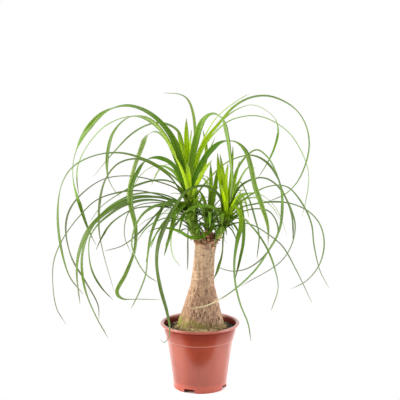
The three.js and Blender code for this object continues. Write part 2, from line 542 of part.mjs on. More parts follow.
function clearsPlant({ point, reach }) {
  const room = reach + SWING.room;
  const { x, y, z } = point;
  if (z < POT.height + room && Math.hypot(x, y) < POT.rimRadius + room) {
    return false;
  }
  const trunkTop = TRUNK[TRUNK.length - 1][0];
  const trunkRadius = alongRings(TRUNK, Math.min(z, trunkTop), 1);
  return z > trunkTop + room || Math.hypot(x - alongRings(TRUNK, z, 2), y) > trunkRadius + room;
}

function clearsOthers({ point, reach }, others) {
  return others.every((other) => point.distanceTo(other.point) > reach + other.reach + SWING.room);
}

// Stem of a head as samples that the leaves of other heads keep away from
function stemSamples(head) {
  return HEADS[head].map(([z, radius, x, y]) => ({ point: new THREE.Vector3(x, y, z), reach: radius }));
}

function settleLeaf(leaf, others) {
  const fits = (swing) => samplesAlong(leaf, knotsOf(leaf, swing))
    .every((sample) => clearsPlant(sample) && clearsOthers(sample, others));
  const swing = SWING.angles.find(fits);
  return { ...leaf, knots: knotsOf(leaf, swing ?? 0), swing };
}

// Stations of a blade: every knot, and more between knots where the leaf bends
function stationShares(curve, spans) {
  const shares = [0];
  for (let span = 0; span < spans; span += 1) {
    const turn = curve.getTangent(span / spans).angleTo(curve.getTangent((span + 1) / spans));
    const steps = clamp(Math.ceil(radToDeg(turn) / BLADE.bend), 1, BLADE.spanSteps);
    for (let step = 1; step <= steps; step += 1) {
      shares.push((span + step / steps) / spans);
    }
  }
  return shares;
}

// Four corners of a blade's section: left edge, valley, right edge and keel
function sectionCorners(point, tangent, across, width, thickness) {
  const face = tangent.clone().cross(across).normalize();
  const lift = BLADE.fold * width / 2;
  const corner = (side, height) => point.clone().addScaledVector(across, side).addScaledVector(face, height);
  return [
    corner(-width / 2, lift), corner(0, thickness / 2), corner(width / 2, lift), corner(0, -thickness / 2),
  ];
}

function bladeSolid(leaf) {
  const spans = leaf.knots.length - 1;
  const curve = new THREE.CatmullRomCurve3(leaf.knots, false, 'centripetal');
  const lengths = curve.getLengths(spans * BLADE.lengthSteps);
  const total = lengths[lengths.length - 1];
  const azimuth = degToRad(leaf.azimuth + leaf.swing);
  const flat = new THREE.Vector3(-Math.sin(azimuth), Math.cos(azimuth), 0);
  const shares = stationShares(curve, spans);
  const points = [];
  for (const share of shares.slice(0, -1)) {
    const along = lengths[Math.round(share * spans * BLADE.lengthSteps)] / total;
    const thickness = Math.min(BLADE.thickness, THIN.least + THIN.share * widthAt(leaf, along));
    const [point, tangent] = [curve.getPoint(share), curve.getTangent(share)];
    const level = flat.clone().addScaledVector(tangent, -flat.dot(tangent)).normalize();
    const turned = leaf.shown ? shownAcross : twistedAcross;
    const across = turned(leaf, along, tangent, level, point);
    points.push(...sectionCorners(point, tangent, across, widthAt(leaf, along), thickness));
  }
  const tip = points.length;
  points.push(curve.getPoint(1));
  const triangles = [0, 1, 3, 1, 2, 3];
  for (let base = 0; base < tip - 4; base += 4) {
    for (const [from, to] of [[0, 1], [2, 1], [2, 3], [0, 3]]) {
      const outward = (from === 0) === (to === 1);
      const [a, b, c, d] = [base + from, base + to, base + to + 4, base + from + 4];
      triangles.push(...(outward ? [a, d, c, a, c, b] : [a, c, d, a, b, c]));
    }
  }
  for (const [from, to] of [[0, 1], [1, 2], [2, 3], [3, 0]]) {
    triangles.push(tip - 4 + from, tip, tip - 4 + to);
  }
  return toSolid(triangleGeometry(points, triangles));
}

// The body that holds the core, with sealed hollows filled and loose scraps dropped
function mainBody(solid) {
  return solid.decompose().reduce((best, piece) => (piece.volume() > best.volume() ? piece : best));
}

function makeHead(head, leaves) {
  const core = toSolid(ringStack(HEADS[head], STEM_SIDES));
  return mainBody(leaves.reduce((whole, leaf) => whole.add(bladeSolid(leaf)), core));
}

// Trunk

// Outline of the trunk by angle: faint ribs above, and broad lobes that grow towards the swollen foot
function trunkSwell(angle, z) {
  const { neck, lobes, lobeHeight, lobeTurn, least, ribs, ribHeight, climb } = SWELL;
  const foot = clamp((neck - z) / (neck - TRUNK[0][0]), 0, 1);
  const broad = lobeHeight * (least + foot) * Math.sin(lobes * angle + lobeTurn);
  return 1 + broad + ribHeight * Math.sin(ribs * angle + z / climb);
}

function huskSolids() {
  const { count, level, spread, depth, length, width, lean, tipLean, twist, jitter, seed } = HUSKS;
  const random = randomSource(seed);
  return Array.from({ length: count }, (_, index) => {
    const azimuth = (index + jitter * random()) / count * 2 * Math.PI;
    const radius = alongRings(TRUNK, level, 1) - depth;
    const root = new THREE.Vector3(
      alongRings(TRUNK, level, 2) + radius * Math.cos(azimuth),
      radius * Math.sin(azimuth),
      level - spread * random(),
    );
    const arch = { length: lerp(...length, random()), rise: lerp(...lean, random()), fall: tipLean };
    const knots = archedKnots(root, azimuth, arch);
    return bladeSolid({ azimuth: radToDeg(azimuth), swing: 0, width, twist, knots });
  });
}

// The trunk down to its seat in the soil, larger all round by a margin
function trunkStack(margin) {
  const [baseLevel, baseRadius, baseX] = TRUNK[0];
  const rings = [[baseLevel - TRUNK_SINK, baseRadius, baseX], ...TRUNK];
  return ringStack(rings.map(([z, radius, x], place) => [place ? z : z - margin, radius + margin, x]),
    TRUNK_SIDES, trunkSwell);
}

function makeTrunk() {
  let trunk = toSolid(trunkStack(0));
  for (const husk of huskSolids()) {
    trunk = trunk.add(husk);
  }
  for (const rings of Object.values(HEADS)) {
    const socket = rings.map(([z, radius, x, y], place) => [place ? z : z - GAP, radius + GAP + CHORD, x, y]);
    trunk = trunk.subtract(toSolid(ringStack(socket, STEM_SIDES)));
  }
  return mainBody(trunk);
}

// Assembly

// Grow a group of leaves, each clear of the leaves and stems of the other heads; one without room is left out
function grow(head, leaves, grown) {
  const others = Object.keys(HEADS).filter((name) => name !== head).flatMap(stemSamples);
  for (const [name, samples] of Object.entries(grown.samples)) {
    if (name !== head) {
      others.push(...samples);
    }
  }
  for (const leaf of leaves.map((one) => settleLeaf(one, others)).filter((one) => one.swing !== undefined)) {
    grown.leaves[head].push(leaf);
    grown.samples[head].push(...samplesAlong(leaf, leaf.knots));
  }
}

const grown = {
  leaves: { left: [], right: [], centre: [] },
  samples: { left: [], right: [], centre: [] },
};
for (const head of Object.keys(HEADS)) {
  grow(head, tracedLeaves(head), grown);
}
for (const [index, whorl] of WHORLS.entries()) {
  grow(whorl.head, whorlLeaves(whorl, index), grown);
}

const plant = new THREE.Group();
plant.add(toMesh('pot', makePot(), 0xc25f49, 0.45));
plant.add(toMesh('soil', makeSoil(), 0x3b2a20, 0.95));
plant.add(toMesh('trunk', makeTrunk(), 0xb59575, 0.9));
plant.add(toMesh('crown_left', makeHead('left', grown.leaves.left), 0x5f9a3a, 0.5));
plant.add(toMesh('crown_right', makeHead('right', grown.leaves.right), 0x6aa53e, 0.5));
plant.add(toMesh('crown_centre', makeHead('centre', grown.leaves.centre), 0x86ad3a, 0.5));

export default plant;
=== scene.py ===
"""Potted ponytail palm, dressed for a studio picture.

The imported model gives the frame: pot, soil, trunk and three heads of leaves, in metres with +Z up. This
script puts a finer piece in the place of each node and adds what is too fine for the solids: bark, veins,
crumbs, moss and root fibres. Lengths in the classes are millimetres, as the plant was measured, and become
metres when a mesh is made.
"""
import logging
import math
from dataclasses import dataclass, field
from enum import Enum
from typing import Iterable, Sequence

import bpy
import numpy as np
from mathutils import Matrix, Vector


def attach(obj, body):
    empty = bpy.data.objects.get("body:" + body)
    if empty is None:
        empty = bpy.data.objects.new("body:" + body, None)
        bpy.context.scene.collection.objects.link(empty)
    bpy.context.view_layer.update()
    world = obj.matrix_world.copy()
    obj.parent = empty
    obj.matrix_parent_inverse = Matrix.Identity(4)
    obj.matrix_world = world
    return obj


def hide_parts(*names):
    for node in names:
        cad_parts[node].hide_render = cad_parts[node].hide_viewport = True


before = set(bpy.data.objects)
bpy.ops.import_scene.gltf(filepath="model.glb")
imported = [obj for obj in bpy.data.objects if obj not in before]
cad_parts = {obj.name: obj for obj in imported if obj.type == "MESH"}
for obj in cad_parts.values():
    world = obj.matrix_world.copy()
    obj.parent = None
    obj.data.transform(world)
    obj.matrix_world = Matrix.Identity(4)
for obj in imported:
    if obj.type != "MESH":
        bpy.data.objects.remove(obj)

LOG = logging.getLogger("ponytail_palm")
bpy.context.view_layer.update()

BODY = "root"
MM = 0.001

# Rings of the trunk: height, radius, and how far the centre lies to the right of the pot's axis
TRUNK_RINGS = (
    (134, 48.6, 0.2), (145, 47.4, 0.9), (157, 44.2, 1.9), (173, 39.2, 2.9), (189, 35.2, 3.8), (206, 30, 4.2),
    (222, 25.8, 4.8), (240, 23.8, 5.8), (258, 22.9, 7), (277, 22.3, 8.7), (298, 22, 10.5), (311, 23.2, 12.6),
    (320, 25, 14.6), (327, 23.6, 15), (331, 15, 15),
)
TRUNK_FOOT = TRUNK_RINGS[0][0]
TRUNK_TOP = TRUNK_RINGS[-1][0]
# How far the trunk goes on inside the soil
TRUNK_SINK = 7

# Rings of each head's stem: height, radius, and centre to the right and to the back
STEM_RINGS = {
    "left": (
        (318, 8.5, -1, -5), (332, 10.5, -8.5, -6), (346, 11.5, -14.5, -6), (362, 11.5, -16, -6),
        (380, 11, -17.5, -6), (398, 10, -19.5, -6), (414, 8, -21, -6), (428, 3, -21.5, -6),
    ),
    "right": (
        (318, 7.5, 31, -3), (332, 8, 39, -4), (346, 9, 47, -4), (358, 9.5, 52, -4),
        (370, 9, 55, -4), (382, 7, 56.5, -4), (394, 2.5, 57, -4),
    ),
    "centre": (
        (318, 6, 16, 11), (332, 6.5, 17, 13), (348, 7, 18, 15), (364, 6.5, 19, 16), (378, 4.5, 20, 17),
        (388, 2, 20.5, 17),
    ),
}
# Share of the stem's radius at which leaves are rooted
ROOT_SHARE = 0.6

# Leaves as they run in the front view, from root to tip. Each row holds the leaf's name, the azimuth of the
# upright plane that it arches in, its width in millimetres, how much of the width shows there at even
# stations, and its points there, both in a square of 400 units a side. Below zero it is the underside that
# shows. A last number is how far the tip drifts to the front.
LEAF_ROWS = {
    "left": [
        ["L1", 172, 13, [5.5, 6, 6, 5.4, 5, 4.2, 3.7, 2.7, 2.2, 1, 4, 4.8, 3.2, 0.8, 0.6, 0.6, 1.8, 3.8, 4,
         2.8, 1.2], [190, 192, 184, 175, 174.5, 142, 153, 116, 129, 106, 107, 111, 88, 129, 75, 155, 73, 176,
         79, 202, 89, 231, 96, 245]],
        ["L2", 161, 8, [3.4, 3.4, -3, -2.8, -2.2, 0.8, 0.9, 0.8, 0.8, 1.2, 1], [189, 193, 183, 176, 169.5,
         143, 152, 121, 134, 116, 107, 125, 88, 145, 78, 166, 77, 181, 79, 196]],
        ["L3", 146, 10.5, [3.5, 3.2, 3, -2.6, -2.2, 0.5, 1.6, 3, 2.8, 0.8, 0.5], [189, 194, 180, 170, 163,
         134, 146, 120, 130, 117, 114, 132, 108, 152, 108, 176, 113, 188, 120, 197]],
        ["L4", 138, 7, [3, 2.8, 2.4, 2.2, 1.7, 1.4, 1.5, 1.5, 1.2, 0.5, 0.4], [190, 193, 186, 168, 183.5, 149,
         178, 131.5, 162, 123, 148, 125, 132, 134, 115, 151, 93, 177]],
        ["L5", 128, 12, [4.8, 4.8, 4.5, 3.8, 2.4, 0.7, -4.4, -4, -3.6, -2.6, -1], [188.5, 192, 180, 169, 168,
         142, 156, 132, 147, 136, 141, 150, 133, 172, 126, 198]],
        ["L6", 184, 9, [3, 1.4, 2, 1.8, 1, 1.2, 0.6, 2, 2, 1.2, 0.8], [192, 206, 183, 187, 164, 170, 143, 159,
         119, 153, 94, 156, 73, 167, 62, 184, 58, 212, 61, 246, 70, 277, 83, 294]],
        ["L7", 216, 11, [3.5, 3.6, 3.8, 3.6, 3.4, 0.8, -3, -3.7, -4.4, -4.2, -4, -3.2, -2.4, -2.4, -3.2, -3.4,
         -3.2, -0.7, -0.6, -0.6, -0.5], [189, 193, 182.5, 181, 172, 164.5, 160, 158.5, 147, 160, 138, 172,
         131, 188, 131, 205, 136, 228, 135, 250, 126, 274, 117, 292, 122, 298, 140, 299, 160, 299.5]],
        ["L8", 152, 7, [2.5, 1.2, 2.3, 1.6, 1.5, 1.3, 2.4, 1.6, 0.8, 0.6, 0.4], [192, 205, 170, 177, 150, 163,
         135, 159, 118, 164, 107, 177, 101, 195, 99, 225, 102, 247, 114, 291]],
        ["L9", 166, 8, [2, 1, 1, 0.8, 0.8, 1.4, 1.7, 1.1, 1.5, 1.2, 0.8], [192, 208, 179, 191, 155, 181, 126,
         176, 102, 180, 80, 196, 69, 212, 66, 231, 72, 258, 86, 282, 98, 305, 99, 319]],
        ["L10", 200, 6, [2, 1.5, 1, 1.4, 1.5, 1.8, 1.5, 0.8, 0.7, 0.6, 0.5], [191, 204, 180, 188, 168, 181,
         152, 181, 133, 187, 116, 196, 100, 208, 90, 222]],
        ["L11", 177, 7, [2, 1, 1, 1.4, 1, 0.9, 0.9, 0.9, 0.7, 0.8, 0.6], [190, 210, 172, 200, 155, 194, 140,
         191, 122, 192, 97, 200, 79, 217, 63, 239, 54, 261, 53, 285, 57, 309, 66, 324]],
        ["L12", 206, 11, [2.5, 2, 1.8, 3, 3.6, 3.6, 3.2, 2.6, 2, 1.2, 0.8], [190, 212, 169, 200, 151, 197,
         135, 198, 120, 204, 104, 214, 88, 231, 79, 254, 77, 273, 80, 304]],
        ["L13", 195, 8, [2, 1.2, 1.3, 1.5, 1.5, 2, 2, 2.3, 1.2, 1, 0.9], [190, 209, 170, 197, 151, 193, 133,
         195, 119, 201, 106, 210, 93, 226, 85, 243, 82, 262, 85, 288, 95, 314, 108, 338]],
        ["L14", 214, 7, [2, 1.4, 1.4, 2, 2.4, 2, 1, 0.8, 1.5, 1.6, 0.6], [190, 214, 168, 203, 150, 200, 135,
         202, 121, 207, 108, 216, 97, 226, 90, 238, 89, 252, 92, 270, 101, 287, 113, 300]],
        ["L15", 222, 7, [2, 1.2, 1.2, 1.3, 1.2, 1, 1, 1.1, 1.4, 1.8, 1], [190, 216, 170, 208, 146, 207, 134,
         209, 121, 216, 110, 225, 101, 239, 96, 250]],
        ["L16", 142, 5, [1.5, 1, 0.9, 0.9, 0.8, 0.4], [190, 215, 168, 204, 150, 203, 137, 206, 129, 212, 125,
         224, 125, 238, 132, 255]],
        ["L17", 233, 9, [2.5, 1.5, 1.8, 2.2, 2.3, 1.6, 1.3, 1, 1, 0.9, 0.6], [190, 216, 173, 206, 160, 205,
         150, 209, 141, 217, 134, 231, 132, 244, 136, 258, 146, 274, 157, 282]],
        ["L18", 226, 6, [1.5, 1.2, 1.4, 1.3, 0.8, 0.5], [190, 214, 176, 207, 165, 207, 155, 216, 146, 226,
         136, 236, 122, 246, 105, 251]],
        ["L19", 226, 10, [2.5, 2.4, 2.6, 2.8, 2.5, 2, 1.6, 1.1, 1.2, 1, 0.6], [191, 211, 177, 202, 166, 204,
         158, 217, 151, 236, 148, 255, 146, 274, 140, 291, 131, 309]],
        ["L20", 229, 9, [3, 3.2, 3.2, 2.8, 2, 1], [192, 208, 184, 203, 177, 209, 173, 222, 170, 236, 164,
         256]],
        ["L21", 120, 5, [1.2, 1, 1, 1, 0.7, 0.5], [192, 222, 180, 220, 173, 230, 171, 244, 173, 256, 180,
         266]],
        ["L22", 236, 5, [1.2, 0.9, 1.1, 1.2, 1, 0.6], [193, 218, 190, 217, 188.5, 226, 188, 242, 188, 256,
         187.5, 270]],
        ["L23", 200, 6, [1.2, 1, 1, 1.2, 1], [192, 226, 181, 220, 168, 222, 158, 232, 150, 246, 146, 262]],
        ["L24", 196, 12, [5, 5, 4.6, 4.4, 4.2, 2.4], [190, 192, 188.5, 171, 186.8, 154, 186.4, 137, 186.3,
         118]],
        ["L25", 150, 8, [3.5, 3.5, 3.2, 3, 2.6, 2.5, 2.3, 1.9, 1.1, 0.6, 0.4], [190.5, 192, 192.5, 163, 195,
         137, 192.5, 112, 187.5, 99.5, 180, 94.5, 163, 93]],
        ["L26", 66, 9, [4, 4, 3.8, 3.4, 2.6, 1.5], [196, 196, 203, 170, 206.5, 150, 203, 130]],
        ["L27", 284, 8, [3.4, 3.2, 3, 2.4, 1.6, 0.8], [190, 192, 189.5, 172, 190, 154, 190.5, 142, 191.5,
         130]],
        ["L28", 8, 8, [3.2, 3.6, 3, 2.2, 1.6, 1.6, 0.9, 1.3, 1.3, 0.9, 0.7], [191.5, 192, 194.5, 168, 200,
         150, 208, 137, 218, 125, 234, 107, 250, 98, 267, 96, 283, 101, 297, 111, 306, 126, 309, 144, 306,
         162, 297, 182, 285, 194, 267, 202]],
        ["L29", 20, 5, [2.2, 2, 1.6, 1.2, 0.9, 0.9, 0.8, 0.8, 0.6, 0.7, 0.5], [192, 194, 197, 164, 206, 144,
         226, 123, 244, 116.5, 260, 116.5, 276, 123, 290, 134, 301, 151, 308, 170, 308, 188, 302, 217]],
        ["L30", 316, 14, [6, 6, 6, 5.6, 5, 1.2, -3.2, -3, -2.4, -2, -1.6], [190.5, 192, 190.5, 172, 196, 140,
         203, 121.5, 213, 114.2, 221.5, 118.5, 227, 137, 230, 159, 232, 180, 230, 203]],
        ["L31", 330, 12, [4.5, 4.8, 4.8, 4.4, -0.5, -3.4, -4.1, -4.2, -3.7, -2.4, -0.6], [191, 193, 195.5,
         176, 202, 163, 211, 150.5, 223, 142, 235, 142, 245, 151, 250, 165, 255, 187, 262, 206, 268, 227, 268,
         246]],
        ["L32", 42, 7, [2.8, 2.6, 2.2, 1.8, 1.3, 0.6, 0.3, 0.6, 2.5, 2.4, 0.8], [192, 193, 195, 170, 203, 147,
         222, 121, 238, 109, 252, 105, 267, 111, 276, 121, 278, 132, 275, 146, 269, 160, 258, 178]],
        ["L33", 52, 5, [2, 1.5, 1.2, 0.8, 0.8, 0.5], [191.5, 192, 196, 162, 203, 141, 216, 118.5, 240, 99,
         249, 94]],
        ["L35", 318, 7, [3, 3, 2.5, 2], [191, 201, 195, 200, 199, 204, 203, 212, 204.5, 219]],
        ["L34", 349, 6, [2, 1.4, 1.1, 1.2, 2, 1, 1.5, 0.9, 0.8, 0.7, 0.6], [195, 202, 201, 189, 211, 177, 222,
         166, 234, 159, 252, 155.5, 266, 162, 276, 175, 283, 192, 291, 210, 295, 226, 291, 246, 280, 262, 241,
         286]],
    ],
    "right": [
        ["R1", 338, 9, [3, 1.9, 1.9, 1.3, 1.2, 2.6, 1.5, 1.6, 1.3, 0.9, 0.9], [228, 222, 231, 198, 236, 173,
         246, 157, 257, 150, 268, 158, 276, 173, 281, 190, 282, 207, 279, 230, 269, 249, 254, 271, 228, 294,
         205, 306, 190, 308.5], 100],
        ["R2", 14, 7, [2.5, 2, 1.8, 1.8, 1.3, 1.4, 1.4, 1.6, 1.4, 1.4, 1], [229, 222, 233, 200, 240, 187, 251,
         180, 263, 178, 274, 183, 284, 195, 291, 213, 293, 228, 293, 243]],
        ["R3", 356, 6, [1.8, 1.2, 1.2, 0.9, 1.1, 1.4, 1.4, 1.2, 1, 0.7, 0.5], [228, 218, 239, 204, 254, 193,
         271, 186, 287, 187, 301, 202, 311, 223, 314, 246, 320, 271, 329, 288]],
        ["R4", 343, 7, [2, 1.2, 1.3, 1.5, 1, 1, 1.1, 1.3, 0.9, 0.8, 0.5], [228, 221, 241, 208, 256, 204, 273,
         202, 292, 204, 309, 212, 320, 225, 324, 244, 319, 265, 306, 281, 291, 289]],
        ["R5", 34, 6, [1.8, 1.2, 1.1, 1.2, 1.3, 1.7, 1.4, 1.2, 1, 0.7, 0.6], [229, 223, 240, 213, 256, 209,
         268, 211, 275, 219, 278, 232, 272, 245, 262, 258, 248, 268, 232, 271, 217, 267]],
        ["R6", 330, 7, [1.6, 0.8, 0.9, 1.1, 0.7, 0.5], [226, 228, 237, 223, 252, 225, 266, 233, 282, 246, 296,
         270, 312, 303]],
        ["R7", 313, 8, [2, 1.1, 1.2, 1.4, 1.5, 1.6, 1.5, 0.9, 0.7, 0.8, 0.5], [228, 219, 236, 213, 245, 220,
         257, 233, 267, 249, 274, 267, 278, 287, 271, 311]],
        ["R8", 298, 9, [2.5, 3.4, 3.4, 4, 2.9, 2, 1.6, 1.5, 1.3, 1.1, 0.8], [227, 218, 234, 207, 239, 211,
         241, 225, 237, 241, 234, 262, 235, 283, 240, 304, 248, 324, 251, 341]],
        ["R9", 52, 8, [2, 2.6, 3, 2.8, 2.6, 1.6], [229, 214, 234, 200, 239, 200, 242, 213, 243.5, 228, 243,
         243, 240, 259, 235, 280]],
        ["R10", 38, 5, [1.8, 1.2, 1.3, 1.5, 1.2, 0.7], [229, 206, 236, 185, 240, 182, 245, 190, 250, 202, 255,
         219, 259, 235, 257, 258]],
        ["R11", 62, 9, [3.5, 3, 3, 1.8, 1.4, 0.8], [228, 220, 234, 194, 241, 178, 248, 168, 255, 168]],
        ["R12", 211, 11, [3, 2.8, 2.5, 2.2, 2, 2.2, 2.4, 3, 3.6, 3.6, 3.6, 3, 2.5, 2.4, 2.8, 3, 2.7, 2.2, 1.3,
         0.7, 0.5], [225, 214, 219, 196, 207, 187, 196, 187, 185, 193, 176, 206, 167, 222, 159, 243, 157, 262,
         161, 289, 167, 311, 170, 329, 168, 339, 163, 343, 160.5, 339]],
        ["R13", 205, 8, [2, 2.6, 3, 2.6, 1.2, 0.4], [224, 226, 216, 226, 208, 233, 200, 237.5, 190, 237.5,
         178, 231, 160, 228, 148, 232]],
        ["R14", 160, 11, [4.5, 4.5, 4, 4, 3.6, 2], [226, 222, 223, 200, 219.5, 175, 217.5, 153]],
        ["R15", 118, 9, [4, 4, 3.6, 3.4, 3, 1.5], [226.5, 221, 225.5, 195, 222.5, 170, 220, 154]],
        ["R16", 280, 10, [4.6, 4.6, 4, 3, 2.2, 1.4], [226.5, 222, 226.2, 201, 226.4, 181, 228, 163]],
        ["R17", 40, 9, [4, 3.8, 3.4, 2.6, 2, 1.4], [227, 222, 229.5, 195, 232, 170, 233, 146]],
        ["R18", 62, 8, [3.6, 3.4, 3, 2.6, 2.2, 1.5], [228, 221, 232, 195, 236.5, 174, 239.5, 161]],
        ["R19", 236, 8, [1.8, 1.5, 1.5, 1.2, 1.5, 2.3, 2.4, 1.4], [226, 226, 224, 231, 223.2, 240, 222.8, 250,
         221.5, 258, 219, 266, 216.5, 273, 213.8, 279]],
        ["R20", 212, 9, [3, 3, 3, 2.6, 2.4, 1.5], [228, 222, 219, 212, 211, 207, 203, 206, 195, 207, 183,
         213]],
    ],
    "centre": [
        ["C1", 320, 8, [3.6, 3.4, 3, 2.4], [209, 216, 210, 206, 212, 196, 216, 186]],
        ["C2", 150, 7, [3, 3, 2.4, 1.6], [208, 217, 206, 207, 203, 197, 199, 190]],
        ["C3", 118, 9, [3.6, 3.4, 3.2, 2], [209, 216, 209.8, 200, 210.8, 182, 210.6, 163]],
        ["C4", 36, 10, [3.8, 3.6, 3.6, 2.2], [210, 216, 213, 202, 215.4, 187, 217, 170]],
    ],
}

# Leaves placed by rule: the head, how many, first and last azimuth, heights of their roots, lengths, angles
# from upright at which they leave the stem and end, and the width
WHORL_ROWS = (
    ("centre", 15, (20, 660), (346, 380), (60, 140), (10, 50), (60, 150), 7.5),
    ("left", 14, (62, 124), (372, 412), (230, 390), (12, 50), (132, 172), 8),
    ("left", 9, (212, 318), (352, 408), (50, 112), (28, 66), (112, 158), 5),
    ("left", 8, (0, 340), (402, 418), (90, 160), (4, 22), (14, 60), 9),
    ("left", 9, (20, 340), (346, 374), (70, 140), (30, 62), (120, 165), 5.5),
    ("right", 10, (52, 132), (354, 378), (180, 330), (16, 54), (130, 170), 7),
    ("right", 6, (222, 312), (348, 378), (45, 100), (30, 66), (112, 158), 4.5),
    ("right", 6, (10, 350), (370, 386), (60, 110), (4, 22), (14, 50), 8),
    ("right", 6, (30, 330), (344, 358), (60, 120), (35, 65), (120, 165), 5.5),
    ("centre", 9, (196, 344), (336, 374), (45, 112), (10, 42), (40, 135), 6.5),
)

Pair = tuple[float, float]
Triple = tuple[float, float, float]
Grid = np.ndarray | float
Sockets = dict[str | int, object]


class Slot(Enum):
    """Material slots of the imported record."""

    POT = "pot"
    SOIL = "soil"
    BARK = "bark"
    LEAF = "leaf"


# Number helpers


def unit(rows: np.ndarray) -> np.ndarray:
    """Rows scaled to length one."""
    return rows / np.maximum(np.linalg.norm(rows, axis=-1, keepdims=True), 1e-12)


def ease(value: Grid, low: float, high: float) -> np.ndarray:
    """Smooth step: 0 up to low, 1 from high, and 3t^2 - 2t^3 between."""
    share = np.clip((np.asarray(value, float) - low) / (high - low), 0, 1)
    return share * share * (3 - 2 * share)


def stacked(*parts: Grid) -> np.ndarray:
    """Parts side by side on a new last axis, each spread over the whole grid."""
    return np.stack(np.broadcast_arrays(*parts), axis=-1)


def full_turn(columns: int) -> np.ndarray:
    """Even angles once round, without the last."""
    return np.linspace(0, 2 * np.pi, columns, endpoint=False)


def polar(radius: Grid, angle: Grid, z: Grid, right: Grid = 0.0, back: Grid = 0.0) -> np.ndarray:
    """Points round an upright axis: (right + radius cos angle, back + radius sin angle, z)."""
    return stacked(right + radius * np.cos(angle), back + radius * np.sin(angle), z)


def cell_values(cells: np.ndarray, seed: int) -> np.ndarray:
    """Random value between -1 and 1 for each whole-number cell.

    Each coordinate is multiplied by a prime of its own. The sum is mixed by shifts, exclusive ors and
    products, all within 32 bits.
    """
    primes = [np.uint64(prime) for prime in (374761393, 668265263, 2246822519, 3266489917)]
    bits = np.uint64(0xFFFFFFFF)
    mixed = sum(cells[..., axis] * primes[axis] for axis in range(3)) + np.uint64(seed) * primes[3] & bits
    for shift, factor in ((15, primes[2]), (13, primes[3])):
        mixed = (mixed ^ mixed >> np.uint64(shift)) * factor & bits
    return (mixed ^ mixed >> np.uint64(16)).astype(float) / float(bits) * 2 - 1


def lattice_noise(points: np.ndarray, seed: int) -> np.ndarray:
    """Smooth random field between -1 and 1.

    Each corner of a whole-number lattice holds a random value, and the eight round a point are blended by
    the ease 6t^5 - 15t^4 + 10t^3 along each axis.

    Args:
        points: Places in lattice units, shaped (..., 3).
        seed: Picks the field.

    Returns:
        One value for each point.
    """
    base = np.floor(points).astype(np.int64)
    rest = points - base
    blend = rest ** 3 * (rest * (rest * 6 - 15) + 10)
    total = np.zeros(points.shape[:-1])
    for corner in np.ndindex(2, 2, 2):
        value = cell_values((base + corner).astype(np.uint64), seed)
        total += value * np.prod(np.where(np.array(corner) == 1, blend, 1 - blend), axis=-1)
    return total


def layered_noise(points: np.ndarray, seed: int, layers: int = 3) -> np.ndarray:
    """Noise between about -1 and 1, in layers that are each twice as fine and half as strong."""
    strengths = 0.5 ** np.arange(layers)
    fields = [lattice_noise(points * 2 ** step, seed + step) * strengths[step] for step in range(layers)]
    return np.sum(fields, axis=0) / strengths.sum()


def along_rings(rings: Sequence[Sequence[float]], height: Grid, column: int) -> np.ndarray:
    """Column of a table of rings at a height, straight between the rings."""
    table = np.asarray(rings, float)
    return np.interp(height, table[:, 0], table[:, column])


class RandomSource:
    """Repeatable random numbers between 0 and 1, the same as in the solids' own source."""

    stride = 1299709
    factor = 16807
    modulus = 2147483647

    def __init__(self, seed: int) -> None:
        """Starts from a small whole number."""
        self.state = seed * self.stride

    def draw(self) -> float:
        """Next number."""
        self.state = self.state * self.factor % self.modulus
        return self.state / self.modulus

    def between(self, low: float, high: float, power: float = 1.0) -> float:
        """Next number between two bounds. A power over one crowds the draws towards the low bound."""
        return low + (high - low) * self.draw() ** power


# Meshes


@dataclass
class Shell:
    """Points in millimetres with quads, triangles and marks of three numbers for each point."""

    points: np.ndarray
    quads: np.ndarray = field(default_factory=lambda: np.zeros((0, 4), int))
    triangles: np.ndarray = field(default_factory=lambda: np.zeros((0, 3), int))
    marks: dict[str, np.ndarray] = field(default_factory=dict)

    @staticmethod
    def joined(shells: Iterable["Shell"]) -> "Shell":
        """One shell of many, with the same marks on each."""
        parts = list(shells)
        starts = np.cumsum([0] + [len(part.points) for part in parts[:-1]])
        return Shell(
            np.concatenate([part.points for part in parts]),
            np.concatenate([part.quads + start for part, start in zip(parts, starts)]),
            np.concatenate([part.triangles + start for part, start in zip(parts, starts)]),
            {key: np.concatenate([part.marks[key] for part in parts]) for key in parts[0].marks},
        )

    def to_object(self, name: str, finish: "Finish", slot: Slot, node: str | None = None) -> bpy.types.Object:
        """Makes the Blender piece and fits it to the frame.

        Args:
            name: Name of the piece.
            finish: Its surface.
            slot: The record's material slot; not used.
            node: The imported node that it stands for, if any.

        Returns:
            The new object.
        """
        mesh = bpy.data.meshes.new(name)
        mesh.from_pydata((self.points * MM).tolist(), [], self.quads.tolist() + self.triangles.tolist())
        for key, values in self.marks.items():
            layer = mesh.attributes.new(key, "FLOAT_VECTOR", "POINT")
            layer.data.foreach_set("vector", np.ascontiguousarray(values, np.float32).ravel())
        mesh.polygons.foreach_set("use_smooth", np.ones(len(mesh.polygons), bool))
        mesh.materials.append(finish.material())
        mesh.validate()
        piece = bpy.data.objects.new(name, mesh)
        bpy.context.scene.collection.objects.link(piece)
        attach(piece, BODY)
        if node:
            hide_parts(node)
        LOG.info("%s: %d points, %d faces", name, len(mesh.vertices), len(mesh.polygons))
        return piece


def with_hubs(grid: np.ndarray) -> np.ndarray:
    """Values on a grid of rings as a list, then the means of the first and the last ring for two hubs."""
    return np.concatenate([grid.reshape(-1, grid.shape[-1]), grid[[0, -1]].mean(axis=1)])


